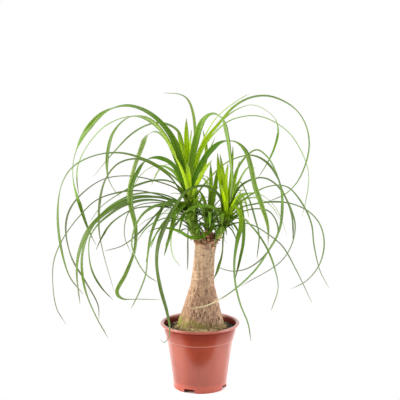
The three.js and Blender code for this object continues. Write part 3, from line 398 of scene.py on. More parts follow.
def capped_rings(rings: np.ndarray, **marks: np.ndarray) -> Shell:
    """Closed shell through a stack of rings.

    The side joins each ring to the next, and a fan to the mean of the first and last ring closes the ends.

    Args:
        rings: Points shaped (rows, columns, 3), turning left seen from the end towards which rows run.
        marks: Values on the same grid, by name.

    Returns:
        The shell. Its last two points are the two hubs.
    """
    rows, columns = rings.shape[:2]
    here = np.arange(columns)
    side = (here + 1) % columns
    row = np.arange(rows - 1)[:, None] * columns
    last, hub = (rows - 1) * columns, rows * columns
    quads = stacked(row + here, row + side, row + side + columns, row + here + columns).reshape(-1, 4)
    fans = [stacked(hub, side, here), stacked(hub + 1, here + last, side + last)]
    marks = {key: with_hubs(grid) for key, grid in marks.items()}
    return Shell(with_hubs(rings), quads, np.concatenate(fans), marks)


def tubes(paths: np.ndarray, radii: np.ndarray, sides: int) -> Shell:
    """Thin round tubes along many paths.

    Each ring stands square to the path: centre + radius x (cos a x across + sin a x over), where across is
    square to the path and to a direction that no path takes.

    Args:
        paths: Centre lines shaped (tubes, stations, 3).
        radii: Radius at each station, shaped (tubes, stations).
        sides: Corners of a ring.

    Returns:
        One shell of closed tubes.
    """
    tangent = unit(np.gradient(paths, axis=1))
    across = unit(np.cross(tangent, (0.31, 0.17, 0.93)))
    over = np.cross(tangent, across)
    angle = full_turn(sides)[:, None]
    turn = np.cos(angle) * across[:, :, None] + np.sin(angle) * over[:, :, None]
    rings = paths[:, :, None] + radii[:, :, None, None] * turn
    return Shell.joined(capped_rings(ring) for ring in rings)


def lump_shell(middles: np.ndarray, sizes: np.ndarray, roughness: float,
               random: np.random.Generator) -> Shell:
    """Many small uneven lumps in one shell.

    Each lump is a ball of twenty faces whose corners are moved in and out at random, stretched by its three
    sizes and turned at random.

    Args:
        middles: Their centres, shaped (lumps, 3).
        sizes: Half sizes along each lump's own axes, shaped (lumps, 3).
        roughness: Share by which a corner moves.
        random: Where the draws come from.

    Returns:
        The shell, with a mark "tint" that holds three random shares for each lump.
    """
    golden = (1 + math.sqrt(5)) / 2
    corners = unit(np.array([
        (-1, golden, 0), (1, golden, 0), (-1, -golden, 0), (1, -golden, 0), (0, -1, golden), (0, 1, golden),
        (0, -1, -golden), (0, 1, -golden), (golden, 0, -1), (golden, 0, 1), (-golden, 0, -1), (-golden, 0, 1),
    ], float))
    faces = np.array([
        (0, 11, 5), (0, 5, 1), (0, 1, 7), (0, 7, 10), (0, 10, 11), (1, 5, 9), (5, 11, 4), (11, 10, 2),
        (10, 7, 6), (7, 1, 8), (3, 9, 4), (3, 4, 2), (3, 2, 6), (3, 6, 8), (3, 8, 9), (4, 9, 5), (2, 4, 11),
        (6, 2, 10), (8, 6, 7), (9, 8, 1),
    ])
    count, each = len(middles), len(corners)
    shape = corners * (1 + roughness * random.uniform(-1, 1, (count, each, 1))) * sizes[:, None]
    first = unit(random.normal(size=(count, 3)))
    second = unit(np.cross(first, random.normal(size=(count, 3))))
    axes = np.stack([first, second, np.cross(first, second)], axis=1)
    points = np.einsum("nij,njk->nik", shape, axes) + middles[:, None]
    triangles = faces + np.arange(count)[:, None, None] * each
    tint = np.repeat(random.uniform(0, 1, (count, 3)), each, axis=0)
    return Shell(points.reshape(-1, 3), triangles=triangles.reshape(-1, 3), marks={"tint": tint})


# Shader maths


class Wire:
    """A shader value. Its operators add Math nodes to its tree."""

    def __init__(self, tree: "Tree", socket: bpy.types.NodeSocket) -> None:
        """Wraps an output socket."""
        self.tree = tree
        self.socket = socket

    def join(self, operation: str, first: "Wire | float", second: "Wire | float" = 0.0) -> "Wire":
        """Result of one Math node."""
        return self.tree.wire("ShaderNodeMath", {"operation": operation}, {0: first, 1: second})

    def __add__(self, other: "Wire | float") -> "Wire":
        """Sum."""
        return self.join("ADD", self, other)

    def __radd__(self, other: float) -> "Wire":
        """Sum, the other way round."""
        return self.join("ADD", other, self)

    def __sub__(self, other: "Wire | float") -> "Wire":
        """Difference."""
        return self.join("SUBTRACT", self, other)

    def __rsub__(self, other: float) -> "Wire":
        """Difference, the other way round."""
        return self.join("SUBTRACT", other, self)

    def __mul__(self, other: "Wire | float") -> "Wire":
        """Product."""
        return self.join("MULTIPLY", self, other)

    def __rmul__(self, other: float) -> "Wire":
        """Product, the other way round."""
        return self.join("MULTIPLY", other, self)

    def __pow__(self, other: float) -> "Wire":
        """Power."""
        return self.join("POWER", self, other)

    def wave(self) -> "Wire":
        """Sine."""
        return self.join("SINE", self)

    def step(self, low: float, high: float) -> "Wire":
        """Smooth step from 0 at low to 1 at high, which may be the smaller of the two."""
        inputs = {"Value": self, "From Min": low, "From Max": high}
        return self.tree.wire("ShaderNodeMapRange", {"interpolation_type": "SMOOTHSTEP"}, inputs)


class Tree:
    """Node tree of a material or world, which ends in one shader."""

    def __init__(self, owner: bpy.types.ID, shader: str, output: str) -> None:
        """Empties the owner's tree and starts it with a shader and an output."""
        owner.use_nodes = True
        self.owner = owner
        self.nodes = owner.node_tree.nodes
        self.links = owner.node_tree.links
        self.nodes.clear()
        self.shader = self.node(shader)
        self.light = Wire(self, self.shader.outputs[0])
        self.output = self.node(output, inputs={"Surface": self.light})

    @classmethod
    def of_material(cls, name: str) -> "Tree":
        """Tree of a new material."""
        material = bpy.data.materials.new(name)
        return cls(material, "ShaderNodeBsdfPrincipled", "ShaderNodeOutputMaterial")

    def node(self, kind: str, settings: dict[str, object] | None = None,
             inputs: Sockets | None = None) -> bpy.types.Node:
        """Adds a node.

        Args:
            kind: The node's type.
            settings: Its own properties, which are set first.
            inputs: Values, colours or links for its sockets, by name or place.

        Returns:
            The node.
        """
        node = self.nodes.new(kind)
        for key, value in (settings or {}).items():
            setattr(node, key, value)
        self.feed(node, inputs or {})
        return node

    def feed(self, node: bpy.types.Node, inputs: Sockets) -> None:
        """Sets or links a node's sockets."""
        for key, value in inputs.items():
            socket = node.inputs[key]
            if isinstance(value, Wire):
                self.links.new(value.socket, socket)
            elif socket.type == "RGBA":
                socket.default_value = (*value, 1.0)
            else:
                socket.default_value = value

    def wire(self, kind: str, settings: dict[str, object] | None = None, inputs: Sockets | None = None,
             output: str | int = 0) -> Wire:
        """Adds a node and returns one of its outputs."""
        return Wire(self, self.node(kind, settings, inputs).outputs[output])

    def place(self, stretch: Triple = (1, 1, 1)) -> Wire:
        """Object coordinates, in metres, times a stretch along each axis."""
        place = self.wire("ShaderNodeTexCoord", output="Object")
        return self.wire("ShaderNodeVectorMath", {"operation": "MULTIPLY"}, {0: place, 1: stretch})

    def noise(self, where: Wire, scale: float, detail: float = 3.0, roughness: float = 0.55) -> Wire:
        """Noise between about 0 and 1."""
        inputs = {"Vector": where, "Scale": scale, "Detail": detail, "Roughness": roughness}
        return self.wire("ShaderNodeTexNoise", inputs=inputs)

    def vector(self, x: Wire, y: Wire, z: Wire) -> Wire:
        """Vector of three values."""
        return self.wire("ShaderNodeCombineXYZ", inputs={0: x, 1: y, 2: z})

    def parts(self, vector: Wire) -> tuple[Wire, ...]:
        """The three values of a vector."""
        node = self.node("ShaderNodeSeparateXYZ", inputs={0: vector})
        return tuple(Wire(self, socket) for socket in node.outputs)

    def attribute(self, name: str) -> tuple[Wire, ...]:
        """The three values of a point attribute."""
        return self.parts(self.wire("ShaderNodeAttribute", {"attribute_name": name}, output="Vector"))

    def painted(self, colour: Wire | Triple, *coats: tuple[Wire | float, Triple]) -> Wire:
        """A colour under coats of others, each blended in by its share."""
        for share, coat in coats:
            colour = self.wire("ShaderNodeMix", {"data_type": "RGBA"}, {0: share, 6: colour, 7: coat}, 2)
        return colour

    def shade(self, colour: Wire, factor: Wire) -> Wire:
        """Colour made lighter or darker by a factor."""
        grey = self.vector(factor, factor, factor)
        return self.wire("ShaderNodeVectorMath", {"operation": "MULTIPLY"}, {0: colour, 1: grey})

    def bump(self, height: Wire, distance: float, strength: float = 1.0) -> Wire:
        """Normal tipped by a height field, whose full step is a distance in metres."""
        inputs = {"Height": height, "Distance": distance, "Strength": strength}
        return self.wire("ShaderNodeBump", inputs=inputs, output="Normal")

    def finish(self, inputs: Sockets) -> bpy.types.ID:
        """Feeds the shader and returns the owner."""
        self.feed(self.shader, inputs)
        return self.owner


@dataclass(frozen=True)
class Finish:
    """A surface finish. Each kind builds its material once."""

    name: str = "finish"

    def material(self) -> bpy.types.Material:
        """The material, made at the first call."""
        return bpy.data.materials.get(self.name) or self.build(Tree.of_material(self.name))

    def build(self, tree: Tree) -> bpy.types.Material:
        """Builds the material in an empty tree."""
        raise NotImplementedError


@dataclass(frozen=True)
class LeafFinish(Finish):
    """Strap leaf: lime where young, green where grown, with veins, bright edges and a dry tip."""

    name: str = "strap_leaf"
    dark: Triple = (0.064, 0.09, 0.024)
    fresh: Triple = (0.13, 0.28, 0.003)
    pale: Triple = (0.27, 0.33, 0.12)
    lime: Triple = (0.52, 0.76, 0.0)
    deep: Triple = (0.045, 0.13, 0.002)
    below: Triple = (0.16, 0.26, 0.04)
    edge: Triple = (0.26, 0.38, 0.04)
    dry: Triple = (0.2, 0.19, 0.12)
    straw: Triple = (0.66, 0.6, 0.34)
    veins: float = 15.0

    def build(self, tree: Tree) -> bpy.types.Material:
        """Attribute "tone" holds lime, below zero for deep green, fresh, raised by painted fill light on
        leaves placed by rule, and 1 on the upper face.

        Attribute "course" holds the place along the leaf in millimetres, the side and dryness.
        """
        lime, fresh, upper = tree.attribute("tone")
        length, side, dry = tree.attribute("course")
        grain = tree.noise(tree.vector(length * 0.012, side * 2.6, fresh * 40.0), 2.2, 4.0, 0.6)
        vein = (side * (self.veins * math.pi)).wave() * 0.5 + 0.5
        blotch = tree.noise(tree.place(), 34.0, 2.0)
        rim = (side * side).step(0.55, 1.0)
        colour = tree.painted(
            self.dark,
            ((fresh + grain * 0.5 - 0.25).step(0.0, 1.0), self.fresh),
            ((1 - upper) * fresh.step(0.0, 1.2), self.below),
            (fresh.step(0.8, 2.0), self.pale),
            (0 - lime, self.deep),
            (lime * (0.8 + grain * 0.4), self.lime),
            (rim * fresh.step(0.0, 1.5) * 0.6, self.edge),
            (dry.step(0.0, 0.5) * 0.5, self.dry),
            (dry.step(0.45, 0.6) * 0.8, self.straw),
        )
        gloss = 0.08 + length.step(90.0, 190.0) * (0.12 + fresh.step(0.0, 1.0) * 0.3)
        return tree.finish({
            "Base Color": tree.shade(colour, 0.86 + vein * 0.12 + blotch * 0.32),
            "Roughness": 0.4 + grain * 0.2, "Specular IOR Level": 0.1,
            "Coat Weight": (1 - (lime * lime) ** 0.5) * gloss, "Coat Roughness": 0.3,
            "Normal": tree.bump(vein * 0.5 + grain * 0.5, 0.00022, 0.6),
        })


@dataclass(frozen=True)
class StemFinish(Finish):
    """Clasped leaf bases: green over yellow-cream, with brown lower edges."""

    name: str = "leaf_bases"
    green: Triple = (0.15, 0.25, 0.02)
    cream: Triple = (0.62, 0.6, 0.2)
    brown: Triple = (0.16, 0.07, 0.02)

    def build(self, tree: Tree) -> bpy.types.Material:
        """Attribute "tone" holds height share, place on the scale and a random share."""
        height, scale, chance = tree.attribute("tone")
        grain = tree.noise(tree.place((1, 1, 0.18)), 420.0, 4.0)
        colour = tree.painted(
            self.cream,
            ((height + grain * 0.2).step(0.1, 0.42), self.green),
            ((1 - scale).step(0.6, 1.0) * 0.4, self.cream),
            (scale.step(0.9, 1.0) * 0.6, self.brown),
        )
        return tree.finish({
            "Base Color": tree.shade(colour, 0.65 + grain * 0.55 + chance * 0.15),
            "Roughness": 0.5 + grain * 0.2, "Specular IOR Level": 0.15,
            "Normal": tree.bump(grain, 0.0006, 0.7),
        })


@dataclass(frozen=True)
class BarkFinish(Finish):
    """Corky tan bark with dark cracks, pale streaks and ring scars, and green algae at the foot.

    It changes at the neck and at the top, between two heights in metres each.
    """

    name: str = "corky_bark"
    tan: Triple = (0.48, 0.29, 0.17)
    pale: Triple = (0.76, 0.55, 0.36)
    pink: Triple = (0.33, 0.17, 0.11)
    crack: Triple = (0.09, 0.04, 0.022)
    algae: Triple = (0.27, 0.29, 0.035)
    crown: Triple = (0.15, 0.055, 0.03)
    neck: Pair = (0.215, 0.262)
    top: Pair = (0.31, 0.323)

    def build(self, tree: Tree) -> bpy.types.Material:
        """Attribute "bark" holds crack depth, algae and ring scars."""
        crack, algae, scar = tree.attribute("bark")
        height = tree.parts(tree.place())[2]
        high = height.step(*self.neck)
        fibre = tree.noise(tree.place((1, 1, 0.22)), 520.0, 5.0, 0.65)
        cloud = tree.noise(tree.place((1, 1, 0.5)), 70.0, 4.0)
        dash = tree.noise(tree.place((1, 1, 0.3)), 330.0, 2.0)
        line = tree.noise(tree.place((0.1, 0.1, 1)), 560.0, 3.0)
        streak = tree.noise(tree.place((1, 1, 0.05)), 210.0, 3.0)
        colour = tree.painted(
            self.pink,
            (cloud.step(0.35, 0.68), self.tan),
            (fibre.step(0.42, 0.75) * 0.7, self.pale),
            (high * 0.4, self.pale),
            (streak.step(0.52, 0.68) * 0.5, self.pale),
            (streak.step(0.48, 0.34) * 0.4, self.pink),
            (line.step(0.5, 0.66) * high * 0.45, self.pale),
            (line.step(0.5, 0.36) * high * 0.5, self.crack),
            (scar * 0.7, self.pale),
            (crack * (0.55 + fibre * 0.6), self.crack),
            (dash.step(0.55, 0.66) * (0.68 - high * 0.5), self.crack),
            (algae * (0.75 + cloud * 0.5), self.algae),
            (height.step(*self.top) * cloud.step(0.38, 0.52), self.crown),
        )
        relief = fibre * 0.7 - dash * 0.5 + line * high * 0.4 + streak * 0.6
        return tree.finish({
            "Base Color": colour, "Roughness": 0.82 + fibre * 0.12, "Normal": tree.bump(relief, 0.0012, 0.8),
        })


@dataclass(frozen=True)
class HuskFinish(Finish):
    """Dry papery stubs, red-brown to straw."""

    name: str = "dry_husk"
    brown: Triple = (0.1, 0.022, 0.014)
    straw: Triple = (0.42, 0.2, 0.09)

    def build(self, tree: Tree) -> bpy.types.Material:
        """Attributes as on the leaves."""
        _, shade, _ = tree.attribute("tone")
        length, side, dry = tree.attribute("course")
        grain = tree.noise(tree.vector(length * 0.06, side * 4.0, shade * 30.0), 2.5, 4.0)
        straw = (grain * 0.9 + shade * 0.5 - dry * 0.3).step(0.3, 0.9)
        return tree.finish({
            "Base Color": tree.painted(self.brown, (straw, self.straw)), "Roughness": 0.7 + grain * 0.2,
            "Normal": tree.bump(grain, 0.0006, 0.8),
        })


@dataclass(frozen=True)
class SoilFinish(Finish):
    """Moist peat: near black, with brown fibres and pale specks."""

    name: str = "peat"
    black: Triple = (0.007, 0.006, 0.004)
    brown: Triple = (0.05, 0.027, 0.016)
    speck: Triple = (0.3, 0.25, 0.17)

    def build(self, tree: Tree) -> bpy.types.Material:
        """Noise on Object coordinates."""
        clod = tree.noise(tree.place(), 260.0, 5.0, 0.7)
        fine = tree.noise(tree.place(), 1400.0, 2.0)
        colour = tree.painted(
            self.black, (clod.step(0.36, 0.7), self.brown), (fine.step(0.66, 0.72) * 0.7, self.speck))
        return tree.finish({
            "Base Color": colour, "Roughness": 0.78 + fine * 0.2,
            "Normal": tree.bump(clod + fine * 0.4, 0.0014, 0.9),
        })


@dataclass(frozen=True)
class CrumbFinish(Finish):
    """Loose bits: two colours picked by each lump's own random share."""

    name: str = "crumb"
    first: Triple = (0.014, 0.009, 0.006)
    second: Triple = (0.09, 0.05, 0.028)
    grain: float = 700.0
    roughness: float = 0.8

    def build(self, tree: Tree) -> bpy.types.Material:
        """Attribute "tint" holds three random shares."""
        chance, shade, _ = tree.attribute("tint")
        grain = tree.noise(tree.place(), self.grain, 3.0)
        colour = tree.painted(self.first, (chance.step(0.2, 1.0), self.second))
        return tree.finish({
            "Base Color": tree.shade(colour, 0.55 + shade * 0.6 + grain * 0.5),
            "Roughness": self.roughness + grain * 0.1, "Normal": tree.bump(grain, 0.0008, 0.7),
        })


@dataclass(frozen=True)
class PotFinish(Finish):
    """Satin moulded plastic, terracotta-coloured, with faint flow marks, painted edge highlights, a painted
    glow at the foot, and painted shade inside, under the lip and ledge and on the collar.
    """

    name: str = "moulded_pot"
    clay: Triple = (0.37, 0.056, 0.02)
    deep: Triple = (0.3, 0.038, 0.015)
    shade: Triple = (0.2, 0.018, 0.006)
    # Painted glow on the foot ring.
    foot: Triple = (0.56, 0.085, 0.04)
    # Painted highlight on the top of the lip and along the ledge.
    painted_highlight: Triple = (0.66, 0.26, 0.19)
    # Painted shade: colour inside the pot, under the lip and ledge and at the bottom edge.
    painted_shade: Triple = (0.11, 0.006, 0.002)

    def build(self, tree: Tree) -> bpy.types.Material:
        """Its point attribute holds painted shade, where the painted edge highlight goes, and a band from 1
        at the foot, a painted glow, down to -1 on the collar, painted shade.
        """
        painted_shade, edge, band = tree.attribute("wear")
        # Collar share: painted shade under the lip, in the colour and in a duller coat.
        collar = (0 - band).step(0.0, 1.0)
        flow = tree.noise(tree.place((1, 1, 0.4)), 22.0, 3.0)
        pebble = tree.noise(tree.place(), 1500.0, 2.0)
        colour = tree.painted(
            self.deep,
            (flow.step(0.3, 0.75), self.clay),
            # Painted glow on the foot ring, then painted shade on the collar.
            (band.step(0.0, 1.0) * 0.5, self.foot),
            (collar * 0.8, self.shade),
            # Painted highlight on the top of the lip and along the ledge.
            (edge * (0.3 + flow * 0.3), self.painted_highlight),
            # Painted shade inside the pot, under the lip and ledge and at the bottom edge.
            (painted_shade * (0.65 + flow * 0.5), self.painted_shade),
        )
        return tree.finish({
            "Base Color": colour, "Roughness": 0.3 + flow * 0.1 + painted_shade * 0.4, "Specular IOR Level": 0.12,
            "Coat Weight": 1 - painted_shade - collar * 0.68, "Coat Roughness": 0.2, "Coat IOR": 1.58,
            "Normal": tree.bump(pebble * 0.6 + flow * 0.4, 0.00012, 0.3),
        })


@dataclass(frozen=True)
class PlainFinish(Finish):
    """Two colours in clouds, for moss, root fibres and the studio's flag."""

    name: str = "plain"
    first: Triple = (0.8, 0.8, 0.8)
    second: Triple = (0.8, 0.8, 0.8)
    roughness: float = 0.7
    scale: float = 60.0

    def build(self, tree: Tree) -> bpy.types.Material:
        """Noise on Object coordinates blends the two colours."""
        cloud = tree.noise(tree.place(), self.scale, 3.0)
        colour = tree.painted(self.first, (cloud.step(0.35, 0.65), self.second))
        return tree.finish({"Base Color": colour, "Roughness": self.roughness + cloud * 0.1})


@dataclass(frozen=True)
class FloorFinish(Finish):
    """Lit white floor that glows, but not under the pot. Away from the pot the picture sees plain white.

    The foot and the near ring are distances from the pot's axis, in metres.
    """

    name: str = "studio_floor"
    white: Triple = (0.91, 0.91, 0.91)
    black: Triple = (0.0, 0.0, 0.0)
    glow: float = 0.5
    foot: Pair = (0.0522, 0.058)
    near: Pair = (0.2, 0.34)

    def build(self, tree: Tree) -> bpy.types.Material:
        """Works with the distance from the pot's axis."""
        out = tree.wire("ShaderNodeVectorMath", {"operation": "LENGTH"}, {0: tree.place((1, 1, 0))}, "Value")
        seen = tree.wire("ShaderNodeLightPath", output="Is Camera Ray")
        plain = tree.wire("ShaderNodeEmission")
        share = seen * out.step(*self.near)
        both = tree.wire("ShaderNodeMixShader", inputs={0: share, 1: tree.light, 2: plain})
        tree.feed(tree.output, {"Surface": both})
        return tree.finish({
            "Base Color": self.white, "Roughness": 0.45, "Emission Strength": self.glow,
            "Emission Color": tree.painted(self.black, (out.step(*self.foot), self.white)),
        })


# Growth of the leaves


@dataclass(frozen=True)
class FrontView:
    """Camera of the front view, in millimetres, and in units of a square of 400 a side."""

    distance: float = 2100
    height: float = 720
    tilt: float = 8.5
    focal: float = 1006
    middle: float = 200

    def eye(self) -> np.ndarray:
        """Where the camera stands."""
        return np.array([0.0, -self.distance, self.height])

    def carried(self, u: float, v: float, anchor: np.ndarray, azimuth: float,
                before: float = 0.0) -> np.ndarray:
        """Carries a seen point to an upright plane.

        The ray (right, cos t - down sin t, -sin t - down cos t) from the eye is cut by the plane through the
        anchor with the normal (-sin azimuth, cos azimuth, 0), moved a little to the front.

        Args:
            u: Place across the view.
            v: Place down the view.
            anchor: A point of the plane.
            azimuth: Way that the plane runs, in radians.
            before: How far in front of the anchor the plane lies.

        Returns:
            The point.
        """
        sine, cosine = math.sin(math.radians(self.tilt)), math.cos(math.radians(self.tilt))
        right, down = (u - self.middle) / self.focal, (v - self.middle) / self.focal
        ray = np.array([right, cosine - down * sine, -sine - down * cosine])
        normal = np.array([-math.sin(azimuth), math.cos(azimuth), 0.0])
        reach = (normal @ (anchor - self.eye()) - before * np.sign(normal[1])) / (normal @ ray)
        return self.eye() + ray * reach


class Curve:
    """Centripetal Catmull-Rom curve through knots, the same as the solids' own."""

    fineness = 201

    def __init__(self, knots: np.ndarray) -> None:
        """Works out the cubic of each span from its four knots, spaced by the root of their distance."""
        points = np.concatenate([[2 * knots[0] - knots[1]], knots, [2 * knots[-1] - knots[-2]]])
        spacing = np.linalg.norm(np.diff(points, axis=0), axis=1, keepdims=True) ** 0.5
        x0, x1, x2, x3 = points[:-3], points[1:-2], points[2:-1], points[3:]
        d0, d1, d2 = spacing[:-2], spacing[1:-1], spacing[2:]
        t1 = ((x1 - x0) / d0 - (x2 - x0) / (d0 + d1) + (x2 - x1) / d1) * d1
        t2 = ((x2 - x1) / d1 - (x3 - x1) / (d1 + d2) + (x3 - x2) / d2) * d1
        self.terms = (x1, t1, 3 * (x2 - x1) - 2 * t1 - t2, 2 * (x1 - x2) + t1 + t2)
        self.spans = len(knots) - 1
        self.shares = np.linspace(0, 1, self.fineness)
        steps = np.linalg.norm(np.diff(self.at(self.shares), axis=0), axis=1)
        self.lengths = np.concatenate([[0], np.cumsum(steps)])

    def at(self, shares: np.ndarray) -> np.ndarray:
        """Points at shares of the knots."""
        place = shares * self.spans
        span = np.minimum(place.astype(int), self.spans - 1)
        rest = (place - span)[:, None]
        return sum(term[span] * rest ** power for power, term in enumerate(self.terms))

    def spaced(self, steps: int) -> np.ndarray:
        """Points at even distances along the curve."""
        return self.at(np.interp(np.linspace(0, self.lengths[-1], steps + 1), self.lengths, self.shares))


def stem_point(head: str, height: float, azimuth: float = 0.0, share: float = 0.0) -> np.ndarray:
    """Point of a stem at a height, a share of its radius off its axis towards an azimuth in degrees."""
    radius, right, back = (along_rings(STEM_RINGS[head], height, column) for column in (1, 2, 3))
    return polar(radius * share, math.radians(azimuth), height, right, back)


@dataclass
class Leaf:
    """One strap leaf: either traced in the front view or arched by rule."""

    name: str
    azimuth: float
    width: float
    root: np.ndarray
    twist: Sequence[float] = ()
    shown: Sequence[float] = ()
    seen: Sequence[float] = ()
    drift: float = 0.0
    arch: Triple = (0, 0, 0)
    knots: np.ndarray | None = None
    taper = 6.0
    least = 2
    faintest = 0.55
    spread = 1.18
    bends = 24
    bends_a_knot = 6
    sample_step = 5

    @classmethod
    def short(cls, name: str, azimuth: float, root: np.ndarray, random: RandomSource,
              *bounds: Sequence[float]) -> "Leaf":
        """Short arched leaf, with its knots as they stand.

        Args:
            name: Its name.
            azimuth: Way that it leans, in degrees.
            root: Where it starts.
            random: Where the draws come from.
            bounds: Bounds of length, rise, fall, width and twist, drawn in this order.

        Returns:
            The leaf.
        """
        length, rise, fall, width, twist = (random.between(*pair) for pair in bounds)
        leaf = cls(name, azimuth, width, root, (0, twist), arch=(length, rise, fall))
        leaf.knots = leaf.bent(0)
        return leaf

    def traced_knots(self, azimuth: float) -> np.ndarray:
        """Knots of a traced leaf, carried to its plane. The drift grows with the cube of the share."""
        pairs = list(zip(self.seen[::2], self.seen[1::2]))
        points = [FrontView().carried(u, v, self.root, azimuth, self.drift * (place / (len(pairs) - 1)) ** 3)
                  for place, (u, v) in enumerate(pairs)]
        return np.array([self.root] + points[1:])

    def arched_knots(self, azimuth: float) -> np.ndarray:
        """Knots of an arch: the angle from upright grows from rise to fall with share^0.65 in even bends."""
        length, rise, fall = self.arch
        share = (np.arange(self.bends) + 0.5) / self.bends
        angle = np.radians(rise + (fall - rise) * share ** 0.65)
        out = np.sin(angle) * length / self.bends
        steps = stacked(math.cos(azimuth) * out, math.sin(azimuth) * out, np.cos(angle) * length / self.bends)
        walk = self.root + np.cumsum(steps, axis=0)
        return np.concatenate([[self.root], walk[self.bends_a_knot - 1::self.bends_a_knot]])

    def bent(self, swing: float) -> np.ndarray:
        """Knots with the leaf swung round its root."""
        azimuth = math.radians(self.azimuth + swing)
        return self.traced_knots(azimuth) if len(self.seen) else self.arched_knots(azimuth)

    def width_at(self, share: np.ndarray) -> np.ndarray:
        """Width at shares of the length: width x (1 - share^6), and never under the least."""
        return np.maximum(self.width * (1 - share ** self.taper), self.least)

    def across(self, share: np.ndarray, middle: np.ndarray,
               tangent: np.ndarray) -> tuple[np.ndarray, np.ndarray]:
        """Direction across the blade.

        A blade placed by rule lies level and is turned about its tangent T by its twist. Of a traced one, the
        share k of its width shows along N = T x W, where W points away from the eye and is square to T, and
        the direction is k N + sqrt(1 - k^2) W, to the side that keeps the upper face outside the arch. It
        shows as wide as it was traced, with a little spread, and never narrower than the faintest line.

        Args:
            share: Shares of the length, in a column.
            middle: Points there.
            tangent: Tangents there.

        Returns:
            Unit vectors, and a column of |k| or one.
        """
        angle = math.radians(self.azimuth)
        flat = np.array([-math.sin(angle), math.cos(angle), 0.0])
        level = unit(flat - (tangent @ flat)[:, None] * tangent)
        if not len(self.shown):
            side = 1 if math.cos(angle) >= 0 else -1
            turn = np.radians(np.interp(share, np.linspace(0, 1, len(self.twist)), self.twist)) * side
            return np.cos(turn) * level + np.sin(turn) * np.cross(tangent, level), np.ones_like(turn)
        view = FrontView()
        away = middle - view.eye()
        away = unit(away - np.sum(away * tangent, axis=1, keepdims=True) * tangent)
        shown = np.interp(share, np.linspace(0, 1, len(self.shown)), self.shown)
        shown = np.where(shown < 0, -1, 1) * np.maximum(np.abs(shown) * self.spread, self.faintest)
        part = np.clip(shown * view.distance / view.focal / self.width_at(share), -1, 1)
        side = np.where(np.sum(away * level, axis=1, keepdims=True) > 0, 1, -1)
        return part * np.cross(tangent, away) + side * np.sqrt(1 - part ** 2) * away, np.abs(part)

    def samples(self, knots: np.ndarray) -> np.ndarray:
        """Points about every 5 mm with the leaf's half width there, shaped (samples, 4)."""
        curve = Curve(knots)
        steps = math.ceil(curve.lengths[-1] / self.sample_step)
        return np.column_stack([curve.spaced(steps), self.width_at(np.linspace(0, 1, steps + 1)) / 2])


class Growth:
    """Grows every leaf as the solids do: traced ones first, then those placed by rule.

    A leaf takes the first swing that keeps it clear of the pot, the trunk and the other heads, and one
    without room is left out.
    """

    angles = (0, 3, -3, 6, -6, 9, -9, 12, -12, 16, -16, 20, -20, 25, -25, 30, -30)
    room = 2.2

    def __init__(self) -> None:
        """Grows all heads."""
        self.leaves: dict[str, list[Leaf]] = {head: [] for head in STEM_RINGS}
        self.samples = {head: [np.array([(x, y, z, radius) for z, radius, x, y in rings], float)]
                        for head, rings in STEM_RINGS.items()}
        for head, rows in LEAF_ROWS.items():
            self.grow(head, [self.traced(head, *row) for row in rows])
        for index, row in enumerate(WHORL_ROWS):
            self.grow(row[0], self.whorl(index, *row))

    @staticmethod
    def traced(head: str, name: str, azimuth: float, width: float, shown: Sequence, seen: Sequence,
               drift: float = 0.0) -> Leaf:
        """Leaf of one traced row, rooted in the stem as high as its first point."""
        guess = stem_point(head, STEM_RINGS[head][2][0])
        height = FrontView().carried(seen[0], seen[1], guess, 0.0)[2]
        root = stem_point(head, height, azimuth, ROOT_SHARE)
        return Leaf(name, azimuth, width, root, shown=shown, seen=seen, drift=drift)

    @staticmethod
    def whorl(index: int, head: str, count: int, around: Pair, roots: Pair, lengths: Pair, rises: Pair,
              falls: Pair, width: float) -> list[Leaf]:
        """Leaves of one whorl, with draws in the order in which the solids take them."""
        random = RandomSource(71 + index * 97)
        leaves = []
        for place in range(count):
            share = (place + 0.15 + 0.7 * random.draw()) / count
            azimuth = around[0] + (around[1] - around[0]) * share
            root = stem_point(head, random.between(*roots), azimuth, ROOT_SHARE)
            arch = (random.between(*lengths), random.between(*rises), random.between(*falls))
            blade = width * (0.85 + 0.3 * random.draw())
            twist = (0, (random.draw() - 0.5) * 110)
            leaves.append(Leaf(f"{head}{index}-{place}", azimuth, blade, root, twist, arch=arch))
        return leaves

    def clear(self, samples: np.ndarray, others: np.ndarray) -> bool:
        """Whether samples keep their room to the pot, the trunk and other samples."""
        x, y, z, reach = samples.T
        room = reach + self.room
        in_pot = (z < Pot.height + room) & (np.hypot(x, y) < Pot.rim_radius + room)
        radius, right = (along_rings(TRUNK_RINGS, z, column) for column in (1, 2))
        in_trunk = (z <= TRUNK_TOP + room) & (np.hypot(x - right, y) <= radius + room)
        if np.any(in_pot | in_trunk):
            return False
        gaps = np.linalg.norm(samples[:, None, :3] - others[None, :, :3], axis=2)
        return bool(np.all(gaps > reach[:, None] + others[None, :, 3] + self.room))

    def grow(self, head: str, candidates: Iterable[Leaf]) -> None:
        """Settles a group of leaves among the other heads."""
        others = np.concatenate(
            [part for name, parts in self.samples.items() if name != head for part in parts])
        settled = []
        for leaf in candidates:
            for swing in self.angles:
                knots = leaf.bent(swing)
                samples = leaf.samples(knots)
                if self.clear(samples, others):
                    leaf.knots = knots
                    leaf.azimuth += swing
                    settled.append((leaf, samples))
                    break
        self.leaves[head] += [leaf for leaf, _ in settled]
        self.samples[head] += [samples for _, samples in settled]


# The plant


